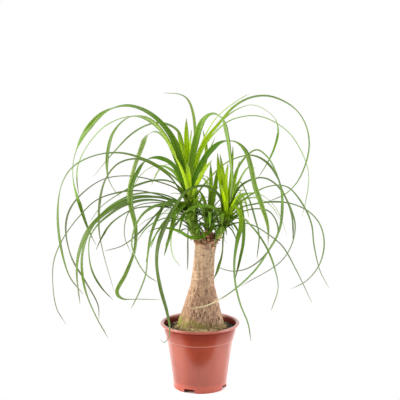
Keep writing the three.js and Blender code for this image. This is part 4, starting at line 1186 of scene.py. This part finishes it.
@dataclass
class Crown:
    """One head: a stem of clasped leaf bases and its strap leaves.

    The tables give how lime its upright and its arched leaves are, and by the leaf's name how much fresher
    it is than the rest, what share of its lime it keeps, and how deep green it is low down.
    """

    limes = {"left": (0.95, 0.5), "right": (1.15, 0.12), "centre": (0.4, 0.0)}
    shades = {
        "L1": -0.25, "L2": 0.6, "L3": -0.3, "L5": 0.5, "L6": -0.1, "L7": 0.1, "L8": -0.1, "L9": -0.3,
        "L14": 0.2, "L20": 0.3, "L21": 1, "L23": 0.6, "L25": -0.1, "L26": -0.3, "L29": 0.7, "L31": 0.15,
        "L32": 0.6, "L33": 1,
        "R5": -0.1, "R11": 0.8, "R12": -0.35, "R13": 0.6, "R14": 0.3, "R15": 0.6, "R19": 0.8, "R20": 0.5,
        "C1": 0.8, "C2": 0.5, "C3": 0.4,
    }
    ripe = {"L24": 0.75, "L25": 0.3, "L26": 0.7, "L7": 0.3}
    deeps = {"L1": 0.25, "L7": 0.75, "L30": 0.2, "L31": 0.95, "L12": 0.3, "L19": 0.4, "R12": 0.3}
    head: str
    leaves: list[Leaf]
    station: float = 6.0
    fold: float = 0.3
    thickness: float = 0.9
    columns: int = 7
    stem_rows: int = 90
    stem_columns: int = 72
    scale_rise: float = 11
    scale_spirals: int = 3
    young_span: Pair = (52, 22)
    sheath_turn: float = 137.5
    sheath_start: float = 14

    def young_heights(self) -> Pair:
        """Root heights at which leaves start to be lime and are all lime."""
        top = STEM_RINGS[self.head][-1][0]
        return top - self.young_span[0], top - self.young_span[1]

    def tones(self, leaf: Leaf, share: np.ndarray, upright: float,
              random: np.random.Generator) -> tuple[np.ndarray, float]:
        """Colours of a leaf.

        Lime runs up the whole of a young upright leaf, and fades soon after the root of an arched one.

        Args:
            leaf: The settled leaf.
            share: Shares of its length, in a column.
            upright: How upright it is, from 0 to 1.
            random: Where its shades come from.

        Returns:
            Lime along it, below zero where it is deep green, and how fresh it is, raised by painted fill
            light on leaves placed by rule.
        """
        young = float(ease(leaf.root[2], *self.young_heights())) * random.uniform(0.75, 1.0)
        narrow = (1 - float(ease(leaf.width, 8, 10.5))) * float(ease(young, 0.6, 1.0))
        stiff, arched = self.limes[self.head]
        lime = stiff * upright * (0.1 + 0.9 * young) * ease(share, -0.15, 0.3)
        lime = lime * (1 - 0.6 * ease(share, 0.45, 1.0))
        lime = lime + arched * (1 - upright) * narrow * (1 - ease(share, 0.05, 0.45))
        lime = lime + 0.3 * young * (1 - upright) * (1 - ease(share, 0.05, 0.4))
        lime = lime * self.ripe.get(leaf.name, 1)
        lime = lime - self.deeps.get(leaf.name, 0) * ease(share, 0, 0.08) * (1 - ease(share, 0.3, 0.48))
        fresh = 0.4 * float(ease(leaf.width, 4, 12)) + 0.3 * young + 0.2 * random.random()
        # Leaves placed by rule and the sheaths get 0.45 more: painted fill light on the inner leaves that no
        # lamp lights from the front.
        return lime, max(fresh + self.shades.get(leaf.name, 0 if len(leaf.shown) else 0.45), 0)

    def blade(self, leaf: Leaf, random: np.random.Generator) -> Shell:
        """Closed strip along a leaf.

        The section is a shallow V: at a side u between -1 and 1 its middle lies u w/2 across and
        fold x (0.2 + 0.8 k) x w/2 x |u|^1.4 up, where k is the share of the width that shows, and it is
        thickness x (1 - 0.7 u^2) thick.

        Args:
            leaf: The settled leaf.
            random: Where its shades come from.

        Returns:
            The shell, marked with "course" and "tone".
        """
        curve = Curve(leaf.knots)
        length = curve.lengths[-1]
        steps = max(int(length / self.station), 10)
        share = np.linspace(0, 1, steps + 1)[:, None]
        middle = curve.spaced(steps)
        tangent = unit(np.gradient(middle, axis=0))
        across, open_share = leaf.across(share, middle, tangent)
        face = np.cross(tangent, across)
        width = leaf.width_at(share) * (1 - 0.55 * ease(share, 0.955, 1.0))
        half = width * (1 + 0.04 * np.sin(share * length / 19 + leaf.azimuth)) / 2
        top = np.linspace(1, -1, self.columns)
        side = np.concatenate([top, top[-2:0:-1]])
        upper = np.concatenate([np.ones(self.columns), -np.ones(self.columns - 2)])
        upper[[0, self.columns - 1]] = 0
        thick = np.minimum(self.thickness, 0.3 + half * 0.18) * (1 - 0.7 * side ** 2) / 2
        lift = self.fold * (0.2 + 0.8 * open_share) * half * np.abs(side) ** 1.4 + upper * thick
        rings = middle[:, None] + (half * side)[..., None] * across[:, None] + lift[..., None] * face[:, None]
        upright = float(ease((middle[-1, 2] - middle[0, 2]) / length, 0.35, 0.9))
        lime, fresh = self.tones(leaf, share, upright, random)
        dry = 0.5 * ease(share, 0.84, 1.0) + 0.5 * ease(share, 0.82, 0.9) * (leaf.drift > 0)
        return capped_rings(
            rings, course=stacked(share * length, side, dry), tone=stacked(lime, fresh, (upper + 1) / 2))

    def stem(self) -> Shell:
        """Stem of clasped bases.

        The radius is the ring's x (0.93 + 0.16 scale x bulge). The scale rises from 0 to 1 between the rims
        of a spiral, as the fraction of z/11 + 3 a/2pi, and the bulge is 1 - |sin(2.5 a + 2.1 turns)| / 2.
        """
        rings = STEM_RINGS[self.head]
        low, top = rings[0][0], rings[-1][0]
        z = np.linspace(low, top, self.stem_rows)[:, None]
        angle = full_turn(self.stem_columns)
        radius, right, back = (along_rings(rings, z, column) for column in (1, 2, 3))
        spiral = z / self.scale_rise + angle * self.scale_spirals / (2 * np.pi)
        turns = np.floor(spiral)
        scale = spiral - turns
        bulge = 1 - np.abs(np.sin(angle * 2.5 + turns * 2.1)) * 0.5
        radius = radius * (1 - ease(z, top - 2, top + 3)) * (0.93 + 0.16 * scale * bulge)
        height = (z - low) / (top - low)
        height = height if self.head == "right" else 0.3 + 0.7 * height
        chance = lattice_noise(stacked(turns * 3.7, np.sin(angle), np.cos(angle)), 5)
        return capped_rings(polar(radius, angle, z, right, back), tone=stacked(height, scale, chance))

    def sheaths(self) -> list[Leaf]:
        """Short clasping leaves that hide the stem, each a golden angle on and a little above the last."""
        random = RandomSource(307 + ord(self.head[0]))
        low, high = STEM_RINGS[self.head][0][0] + self.sheath_start, self.young_heights()[1]
        count = int((high - low) * 0.5)
        leaves = []
        for place in range(count):
            azimuth = place * self.sheath_turn + 20 * random.draw()
            height = low + (high - low) * (place + random.draw()) / count
            root = stem_point(self.head, height, azimuth, 0.9)
            bounds = (22, 68), (8, 34), (40, 140), (4.5, 8.5), (-40, 40)
            leaves.append(Leaf.short(f"sheath{place}", azimuth, root, random, *bounds))
        return leaves

    def build(self) -> None:
        """Makes the leaves and the stem."""
        random = np.random.default_rng(len(self.leaves) * 31 + ord(self.head[0]))
        blades = Shell.joined(self.blade(leaf, random) for leaf in self.leaves + self.sheaths())
        blades.to_object(f"{self.head}_head_leaves", LeafFinish(), Slot.LEAF, f"crown_{self.head}")
        self.stem().to_object(f"{self.head}_head_stem", StemFinish(), Slot.LEAF, f"crown_{self.head}")


@dataclass
class Trunk:
    """Swollen corky trunk with dry stubs round its top and roots at the soil."""

    rows: int = 290
    columns: int = 320
    husks: int = 34
    husk_heights: Pair = (306, 320)
    upright_husks: int = 26
    upright_height: float = 325
    roots: int = 460
    neck: float = 222
    lobes: float = 0.02
    ribs: float = 0.012
    climb: float = 31
    crack_width: float = 4.4
    crack_length: float = 24
    crack_depth: float = 1.15
    pit_depth: float = 0.8
    plate_width: float = 7
    plate_length: float = 15
    plate_lift: float = 0.95
    flare_lift: float = 3.4
    flare_top: float = 176
    scar_spacing: float = 17
    scar_lift: float = 0.5
    scar_heights: Pair = (206, 240)
    smooth_heights: Pair = (316, 330)
    crown_heights: Pair = (324, 331)
    crown_dip: float = 5

    def swell(self, angle: np.ndarray, z: np.ndarray) -> np.ndarray:
        """Outline factor of the solid: 1 + 0.02 (0.25 + foot) sin(3a + 0.9) + 0.012 sin(5a + z/31)."""
        foot = np.clip((self.neck - z) / (self.neck - TRUNK_FOOT), 0, 1)
        lobes = self.lobes * (0.25 + foot) * np.sin(3 * angle + 0.9)
        return 1 + lobes + self.ribs * np.sin(5 * angle + z / self.climb)

    def axis(self, z: Grid) -> np.ndarray:
        """How far the trunk's centre lies to the right."""
        return along_rings(TRUNK_RINGS, z, 2)

    def surface(self, angle: np.ndarray, z: np.ndarray) -> tuple[np.ndarray, np.ndarray]:
        """Bark surface.

        The radius is ring x swell + relief. The relief is the sum of ridged noise, drawn out along the trunk
        into cracks, of plates, of root flares low down and of ring scars high up. It fades out near the top,
        where the bark dips under the heads.

        Args:
            angle: Angles round the trunk.
            z: Heights.

        Returns:
            The points, and the marks for crack, algae and scar.
        """
        foot = 1 - ease(z, 150, 225)
        radius = along_rings(TRUNK_RINGS, np.maximum(z, TRUNK_FOOT), 1) * self.swell(angle, z)
        grain = polar(radius / self.crack_width, angle, z / self.crack_length)
        warp = lattice_noise(grain * 0.6, 11)[..., None] * 0.8
        seam = 1 - np.abs(lattice_noise(grain + warp, 3)) * 5.5
        fine = 1 - np.abs(lattice_noise(grain * np.array([2.3, 2.3, 3.1]) + warp, 7)) * 4
        crack = np.clip(seam, 0, 1) * (0.35 + 0.65 * foot)
        pit = np.clip(fine, 0, 1) * np.clip(lattice_noise(grain * 1.4, 21) * 3, 0, 1)
        plates = layered_noise(polar(radius / self.plate_width, angle, z / self.plate_length), 31, 3)
        flare = np.clip(lattice_noise(polar(3.1, angle, z / 80), 41), -0.4, 1)
        flare = flare * self.flare_lift * (1 - ease(z, TRUNK_FOOT, self.flare_top))
        wander = layered_noise(polar(1.6, angle, z / 30), 51, 2)
        scar_wave = np.sin((z + wander * 7) * 2 * np.pi / self.scar_spacing)
        scar = ease(scar_wave, 0.74, 0.97) * ease(z, *self.scar_heights) * ease(wander + 0.5, 0.2, 0.55)
        relief = plates * self.plate_lift - crack * self.crack_depth - pit * self.pit_depth
        relief = (relief + flare + scar * self.scar_lift) * (1 - ease(z, *self.smooth_heights))
        radius = radius + relief - ease(z, *self.crown_heights) * self.crown_dip
        points = polar(radius, angle, z, self.axis(z))
        left = 0.5 - 0.5 * np.cos(angle)
        patch = ease(layered_noise(points / 11, 61, 3) + 0.25, -0.15, 0.5)
        algae = (1 - ease(z, 137 + 7 * left, 150 + 20 * left)) * (0.3 + 0.7 * patch) * (0.55 + 0.45 * left)
        return points, stacked(np.clip(crack + pit * 0.8, 0, 1), algae, scar)

    def bark(self) -> Shell:
        """The bark as a closed shell from under the soil to the heads."""
        z = np.linspace(TRUNK_FOOT - TRUNK_SINK, TRUNK_TOP, self.rows)[:, None]
        points, marks = self.surface(full_turn(self.columns), z)
        return capped_rings(points, bark=marks)

    def stub_leaves(self) -> list[Leaf]:
        """Dry stubs of old leaves: bent out round the top of the trunk, and upright between the stems."""
        random = RandomSource(29)
        leaves = []
        for place in range(self.husks):
            azimuth = (place + 0.7 * random.draw()) / self.husks * 720
            height = random.between(*self.husk_heights)
            off = along_rings(TRUNK_RINGS, height, 1) - 1.2
            root = polar(off, math.radians(azimuth), height, self.axis(height))
            bounds = (7, 20), (4, 34), (10, 140, 2), (6.5, 10.5), (-30, 30)
            leaves.append(Leaf.short(f"stub{place}", azimuth, root, random, *bounds))
        for place in range(self.upright_husks):
            azimuth = 360 * random.draw()
            off = random.between(0, 17, 0.5)
            root = polar(off, math.radians(azimuth), self.upright_height, self.axis(self.upright_height + 1))
            bounds = (9, 26), (4, 24), (15, 85), (5, 9), (-40, 40)
            leaves.append(Leaf.short(f"husk{place}", azimuth, root, random, *bounds))
        return leaves

    def root_fringe(self) -> Shell:
        """Thin pale roots that leave the bark just above the soil and run down and out into it."""
        random = np.random.default_rng(83)
        column = (self.roots, 1)
        angle = random.normal(-1.6, 0.75, self.roots)
        z = random.uniform(135, 140, self.roots)
        start, _ = self.surface(angle, z)
        angle, z = angle[:, None], z[:, None]
        share = np.linspace(0, 1, 7)
        spread = random.uniform(2, 13, column) * share ** 1.1
        drift = random.normal(0, 0.035, column) * share + angle
        radius = np.hypot(start[:, :1] - self.axis(z), start[:, 1:2]) - 0.4 + spread
        drop = z + (133.6 - z) * share ** 0.7 + random.uniform(0, 2.4, column) * share
        wave = np.sin(share * random.uniform(4, 11, column) + random.uniform(0, 6, column)) * 0.5
        thick = random.uniform(0.45, 0.95, column) * (1 - 0.4 * share)
        return tubes(polar(radius + wave, drift, drop, self.axis(drop)), thick, 5)

    def build(self) -> None:
        """Makes the bark, the stubs and the roots."""
        random = np.random.default_rng(19)
        self.bark().to_object("trunk_bark", BarkFinish(), Slot.BARK, "trunk")
        maker = Crown("left", [], station=1.6, fold=0.5, thickness=0.7)
        stubs = Shell.joined(maker.blade(leaf, random) for leaf in self.stub_leaves())
        stubs.to_object("trunk_stubs", HuskFinish(), Slot.BARK, "trunk")
        fringe = PlainFinish("root_fibre", (0.82, 0.66, 0.38), (0.3, 0.2, 0.09), 0.75, 160)
        self.root_fringe().to_object("root_fringe", fringe, Slot.BARK)


@dataclass
class Soil:
    """Peat that fills the pot, with loose crumbs, bark chips and moss on top."""

    wall_level: float = 128
    mound_level: float = 134.5
    mound_radius: float = 46
    inner_edge: float = 40
    lumps: float = 1.7
    columns: int = 300
    crumbs: int = 1500
    chips: int = 46
    bits: int = 260
    tufts: int = 900

    def height(self, x: np.ndarray, y: np.ndarray) -> np.ndarray:
        """Surface level: a slope from the trunk down to the wall, plus layered noise of 1.7 mm."""
        share = 1 - ease(np.hypot(x, y), self.mound_radius, Pot.inner_radius(self.wall_level))
        noise = layered_noise(stacked(x / 9, y / 9, 0), 71, 4)
        return self.wall_level + (self.mound_level - self.wall_level) * share + noise * self.lumps

    def bed(self) -> Shell:
        """Closed bed: rings up the wall from the floor, then in over the top to under the trunk."""
        angle = full_turn(self.columns)
        side = np.linspace(Pot.foot_rise + 3, self.wall_level - 3, 12)[:, None] + 0 * angle
        wall = Pot.inner_radius(side) - 0.8
        rim = Pot.inner_radius(self.wall_level) - 0.5
        over = rim + (self.inner_edge - rim) * np.linspace(0, 1, 70)[:, None] + 0 * angle
        top = self.height(over * np.cos(angle), over * np.sin(angle))
        hidden = np.array([36.0, 20.0, 6.0])[:, None] + 0 * angle
        under = 0 * hidden + TRUNK_FOOT - TRUNK_SINK - 1
        radius = np.concatenate([wall[:1] * 0.3, wall, over, hidden])
        return capped_rings(polar(radius, angle, np.concatenate([side[:1], side, top, under])))

    def scattered(self, count: int, seed: int, inner: float = 51.0) -> tuple[np.ndarray, np.random.Generator]:
        """Random places on the surface between the trunk and the wall, with the generator for more draws."""
        random = np.random.default_rng(seed)
        outer = Pot.inner_radius(self.wall_level) - 2.5
        radius = np.sqrt(random.uniform(inner ** 2, outer ** 2, count))
        angle = random.uniform(0, 2 * np.pi, count)
        x, y = radius * np.cos(angle), radius * np.sin(angle)
        return stacked(x, y, self.height(x, y)), random

    def crumb_shell(self) -> Shell:
        """Crumbs of 0.6 to 2.4 mm, most of them small."""
        middles, random = self.scattered(self.crumbs, 91)
        size = 0.6 + 1.8 * random.random((self.crumbs, 1)) ** 2.4
        sizes = size * random.uniform(0.6, 1.2, (self.crumbs, 3))
        middles[:, 2] += size[:, 0] * 0.35
        return lump_shell(middles, sizes, 0.3, random)

    def chip_shell(self) -> Shell:
        """Flat chips of bark, about 3 to 8 mm long."""
        middles, random = self.scattered(self.chips, 97, 54.0)
        size = random.uniform(1.5, 3.6, (self.chips, 1))
        middles[:, 2] += 0.9
        return lump_shell(middles, size * np.array([1.2, 0.75, 0.32]), 0.22, random)

    def bit_shell(self) -> Shell:
        """Blue-green bits of old leaf and grit, about 1 to 5 mm, thickest to the right."""
        middles, random = self.scattered(self.bits * 3, 107, 54.0)
        middles = middles[np.argsort(-(middles[:, 0] / 60 + random.random(len(middles))))][: self.bits]
        size = random.uniform(0.5, 2.1, (self.bits, 1))
        middles[:, 2] += 0.8
        return lump_shell(middles, size * np.array([1.1, 0.7, 0.6]), 0.3, random)

    def moss_shell(self) -> Shell:
        """Moss: short curved strands in patches by the trunk and on the soil."""
        places, random = self.scattered(self.tufts * 4, 101, 48.0)
        patch = layered_noise(places / np.array([13, 13, 40]), 103, 2)
        near = 1 - ease(np.hypot(places[:, 0], places[:, 1]), 50, 62)
        keep = np.argsort(-(patch + near * 0.7 + (places[:, 0] < 0) * 0.12))[: self.tufts]
        start = places[keep] - np.array([0, 0, 0.4])
        share = np.linspace(0, 1, 5)[:, None]
        lean = random.normal(0, 1.5, (self.tufts, 1, 3)) * np.array([1, 1, 0.2])
        rise = np.array([0, 0, 1.0]) * random.uniform(1.2, 3.6, (self.tufts, 1, 1))
        paths = start[:, None] + rise * share + lean * share ** 2
        thick = random.uniform(0.28, 0.5, (self.tufts, 1)) * (1 - 0.6 * share[:, 0])
        return tubes(paths, thick, 4)

    def build(self) -> None:
        """Makes the bed and all that lies on it."""
        chip = CrumbFinish("bark_chip", (0.17, 0.05, 0.03), (0.34, 0.17, 0.09), 900.0, 0.65)
        grit = CrumbFinish("grit", (0.01, 0.03, 0.02), (0.2, 0.27, 0.2), 900.0, 0.6)
        moss = PlainFinish("moss", (0.045, 0.1, 0.018), (0.2, 0.25, 0.06), 0.85, 90)
        self.bed().to_object("soil_bed", SoilFinish(), Slot.SOIL, "soil")
        self.crumb_shell().to_object("soil_crumbs", CrumbFinish(), Slot.SOIL)
        self.chip_shell().to_object("bark_chips", chip, Slot.SOIL)
        self.bit_shell().to_object("soil_bits", grit, Slot.SOIL)
        self.moss_shell().to_object("soil_moss", moss, Slot.SOIL)


class Pot:
    """Nursery pot of 17 cm: rolled lip, collar, moulded ledge, taper and a notched foot."""

    rim_radius = 85.0
    height = 142.0
    lip_height = 5.5
    lip_round = 1.6
    wall = 1.8
    neck_radius = 78.0
    ledge_height = 107.0
    ledge_step = 1.4
    ledge_radius = 73.0
    foot_radius = 58.0
    foot_rise = 9.0
    foot_width = 3.2
    foot_slope = 3.0
    pad_radius = 16.0
    notches = 4
    notch_width = 25.0
    notch_height = 8.2
    notch_turn = 66.5
    wobble = 0.25
    stations = 170
    columns = 384

    @classmethod
    def inner_radius(cls, z: Grid) -> np.ndarray:
        """Inner radius at a height: straight from foot to ledge and from ledge to rim."""
        heights = [cls.foot_rise, cls.ledge_height, cls.ledge_height + 0.01, cls.height]
        radii = [cls.foot_radius, cls.ledge_radius - cls.ledge_step, cls.ledge_radius, cls.neck_radius]
        return np.interp(z, heights, radii) - cls.wall

    @staticmethod
    def rounded(points: np.ndarray, radius: np.ndarray) -> np.ndarray:
        """Outline with its corners rounded.

        Each corner B between A and C becomes the curve (1-t)^2 P + 2t(1-t) B + t^2 Q, where P and Q lie a
        radius from B on the two sides, or at most 0.48 of a side.
        """
        a, b, c = points[:-2], points[1:-1], points[2:]
        t = np.linspace(0, 1, 5)[None, :, None]
        start, end = (
            (b + side * np.minimum(radius[1:-1] / np.linalg.norm(side, axis=1), 0.48)[:, None])[:, None]
            for side in (a - b, c - b))
        curve = (1 - t) ** 2 * start + 2 * t * (1 - t) * b[:, None] + t ** 2 * end
        return np.concatenate([points[:1], curve.reshape(-1, 2), points[-1:]])

    def outline(self) -> np.ndarray:
        """Radius and height along the wall, from the middle of the underside to the middle of the floor.

        Each corner has its radius, its height and how far it is rounded.
        """
        top, rim, neck, wide = self.height, self.rim_radius, self.neck_radius, self.ledge_radius
        lip, ledge, rise, foot = top - self.lip_height, self.ledge_height, self.foot_rise, self.foot_radius
        floor, narrow, inner = rise + self.wall, wide - self.ledge_step, foot - self.foot_width
        corners = np.array([
            (0.5, 0.6, 1), (self.pad_radius, 0, 1.5), (self.pad_radius + self.foot_slope, rise, 1.5),
            (inner - self.foot_slope, rise, 1), (inner, 0, 0.8), (foot, 0, 1.6), (foot, rise, 3),
            (narrow, ledge - 1.6, 0.7), (wide, ledge, 0.6), (neck, lip - self.lip_round, 1),
            (neck + 1.2, lip, 0.8), (rim - 0.8, lip + 0.3, 1.2), (rim, lip + 2.5, 1.4), (rim, top - 1.3, 1.5),
            (rim - 2.2, top, 1.6), (neck + 1.6, top, 1.8), (neck - 0.9, top - 1.6, 1.6),
            (wide - self.wall, ledge + 1.4, 2),
            (narrow - self.wall, ledge - 1.4, 2), (foot - self.wall, floor + 2, 2),
            (foot - self.wall - 2, floor, 2), (0.5, floor, 1),
        ])
        return self.rounded(corners[:, :2], corners[:, 2])

    def wear(self, z: np.ndarray, outer: np.ndarray) -> np.ndarray:
        """Painted light on the wall: painted shade inside, under the lip and ledge and at the bottom edge,
        painted highlights on edges, and the bands of painted glow at the foot and painted shade on the
        collar.
        """
        lip, ledge = self.height - self.lip_height, self.ledge_height
        below_lip = 1 - ease(z, lip - 0.2, lip + 0.6)
        # Painted shade under the lip and the ledge, inside the pot and at the bottom edge.
        under_lip = ease(z, lip - 6.5, lip - 0.5) * below_lip
        under_ledge = ease(z, ledge - 4.5, ledge - 1.8) * (1 - ease(z, ledge - 1.2, ledge - 0.8))
        inside = (0.5 + 0.5 * (1 - ease(z, 124, 139))) * (1 - ease(z, 139, 141.5))
        outside = under_lip * 0.85 + under_ledge * 0.3 + (1 - ease(z, 0, 4)) * 0.3
        # Painted highlight on the top of the lip and along the ledge.
        edge = ease(z, lip + 1.5, self.height - 0.8) + ease(np.abs(z - ledge + 0.2), 1.6, 0.4) * outer * 0.3
        # Painted shade on the collar, deepest under the lip, and a painted glow on the foot ring up to about
        # 20 mm.
        collar = ease(z, ledge + 1, ledge + 3) * (0.4 + 0.6 * ease(z, 112, 133))
        band = outer * (1 - ease(z, 12, 20) - collar * below_lip)
        return stacked(np.where(outer, outside, inside), edge, band)

    def shell(self) -> Shell:
        """Turned wall, a little out of round, with its foot ring lifted to the notch height at each notch.

        A notch is open within half its width, as an angle, of every quarter turn from the notch turn. The
        floor inside is flat, so it has no rows between its edge and its middle.
        """
        outline = self.outline()
        place = np.concatenate([[0], np.cumsum(np.linalg.norm(np.diff(outline, axis=0), axis=1))])
        between = np.linspace(0, place[-1], self.stations)
        along = np.unique(np.concatenate([place, between[between < place[-2]]]))
        radius, z = (np.interp(along, place, column)[:, None] for column in outline.T)
        outer = along[:, None] < place[np.argmax(outline[:, 1])]
        angle = full_turn(self.columns)
        turn = (np.degrees(angle) - self.notch_turn) / 360 * self.notches
        off = np.abs(turn - np.round(turn)) * 360 / self.notches
        half = math.degrees(self.notch_width / 2 / self.foot_radius)
        inner = self.foot_radius - self.foot_width - self.foot_slope
        notch = (1 - ease(off, half - 1.1, half + 0.6)) * ease(radius, inner - 1, inner) * outer
        z = np.maximum(z, self.notch_height * notch)
        wobble = self.wobble * np.sin(2 * angle + 0.6) * ease(z, 20, self.height) * ease(radius, 40, 60)
        return capped_rings(polar(radius + wobble, angle, z), wear=self.wear(z, outer))

    def build(self) -> None:
        """Makes the pot."""
        self.shell().to_object("pot_shell", PotFinish(), Slot.POT, "pot")


@dataclass(frozen=True)
class SoftBox:
    """Flat lamp: name, place and size in metres, power in watts, colour, and the point that it faces."""

    name: str
    place: Triple
    size: Pair
    power: float
    colour: Triple = (1.0, 1.0, 1.0)
    target: Triple = (0.0, 0.0, 0.3)

    def build(self) -> None:
        """Adds the lamp."""
        lamp = bpy.data.lights.new(self.name, "AREA")
        lamp.shape = "RECTANGLE"
        lamp.size, lamp.size_y = self.size
        lamp.energy = self.power
        lamp.color = self.colour
        body = bpy.data.objects.new(self.name, lamp)
        body.location = self.place
        aim = Vector(self.target) - Vector(self.place)
        body.rotation_euler = aim.to_track_quat("-Z", "Y").to_euler()
        bpy.context.scene.collection.objects.link(body)


class Studio:
    """White floor, soft lamps, white world and the camera of the front view."""

    sensor = 36
    dim = 0.06
    bright = 1.15
    lamps = (
        SoftBox("key_left", (-2.0, -0.45, 0.8), (1.1, 1.9), 60, (1.0, 0.95, 0.86)),
        SoftBox("fill_right", (2.0, -0.4, 0.8), (1.0, 1.9), 36),
        SoftBox("top", (0.0, 0.0, 2.2), (1.6, 1.6), 14),
    )

    def floor(self) -> None:
        """Wide disc under the pot: rings out to 30 m."""
        shell = self.slab((0, 0), (30000, 30000), -0.3, 40)
        shell.to_object("floor", FloorFinish(), Slot.POT)

    def flag(self) -> None:
        """Black flag that lies before the pot. Only gloss sees it: it darkens the front of the satin wall."""
        shell = self.slab((20, -1056), (1500, 900), 4, 2)
        piece = shell.to_object("flag", PlainFinish("black_flag", (0, 0, 0), (0, 0, 0), 0.9), Slot.POT)
        piece.visible_camera = False
        piece.visible_diffuse = False
        piece.visible_shadow = False

    @staticmethod
    def slab(middle: Pair, half: Pair, top: float, thick: float) -> Shell:
        """Flat slab with a rounded plan: |x / half_x|^n + |y / half_y|^n = 1, with n = 2 for a disc, else 20.

        Args:
            middle: Centre of the plan.
            half: Half sizes of the plan.
            top: Level of the top.
            thick: Thickness.

        Returns:
            The shell.
        """
        power = 2 if half[0] == half[1] else 20
        x, y = np.cos(full_turn(96)), np.sin(full_turn(96))
        size = (np.abs(x) ** power + np.abs(y) ** power) ** (-1 / power)
        plan = stacked(x * size * half[0], y * size * half[1], 0)
        shares, levels = (0.01, 1, 1, 0.999, 0.2, 0.01), (-thick, -thick, 0, 0, 0, 0)
        rings = [plan * share + (middle[0], middle[1], top + level) for share, level in zip(shares, levels)]
        return capped_rings(np.array(rings))

    def camera(self) -> None:
        """Camera of the front view, on a 36 mm sensor."""
        view = FrontView()
        lens = bpy.data.cameras.new("camera")
        lens.lens = view.focal / (2 * view.middle) * self.sensor
        lens.sensor_width = self.sensor
        body = bpy.data.objects.new("camera", lens)
        body.location = view.eye() * MM
        body.rotation_euler = (math.radians(90 - view.tilt), 0, 0)
        bpy.context.scene.collection.objects.link(body)
        bpy.context.scene.camera = body

    def world(self) -> None:
        """White surroundings that are dimmer on the side of the front view, and colours shown as they are.

        The backdrop itself is seen as white from every side.
        """
        bpy.context.scene.view_settings.view_transform = "Standard"
        world = bpy.data.worlds.new("studio")
        tree = Tree(world, "ShaderNodeBackground", "ShaderNodeOutputWorld")
        back = tree.parts(tree.wire("ShaderNodeTexCoord", output="Generated"))[1]
        light = self.dim + back.step(-0.55, 0.35) * (self.bright - self.dim)
        seen = tree.wire("ShaderNodeLightPath", output="Is Camera Ray")
        tree.finish({"Color": (1.0, 1.0, 1.0), "Strength": light + seen * (1 - light)})
        bpy.context.scene.world = world

    def build(self) -> None:
        """Sets up the picture."""
        self.floor()
        self.flag()
        self.camera()
        self.world()
        for lamp in self.lamps:
            lamp.build()


def main() -> None:
    """Builds the plant, the pot and the studio."""
    heads = [Crown(head, leaves) for head, leaves in Growth().leaves.items()]
    for part in (Pot(), Soil(), Trunk(), *heads, Studio()):
        part.build()
        LOG.info("built %s", type(part).__name__)


if __name__ == "__main__":
    logging.basicConfig(level=logging.INFO, format="%(message)s")
    main()
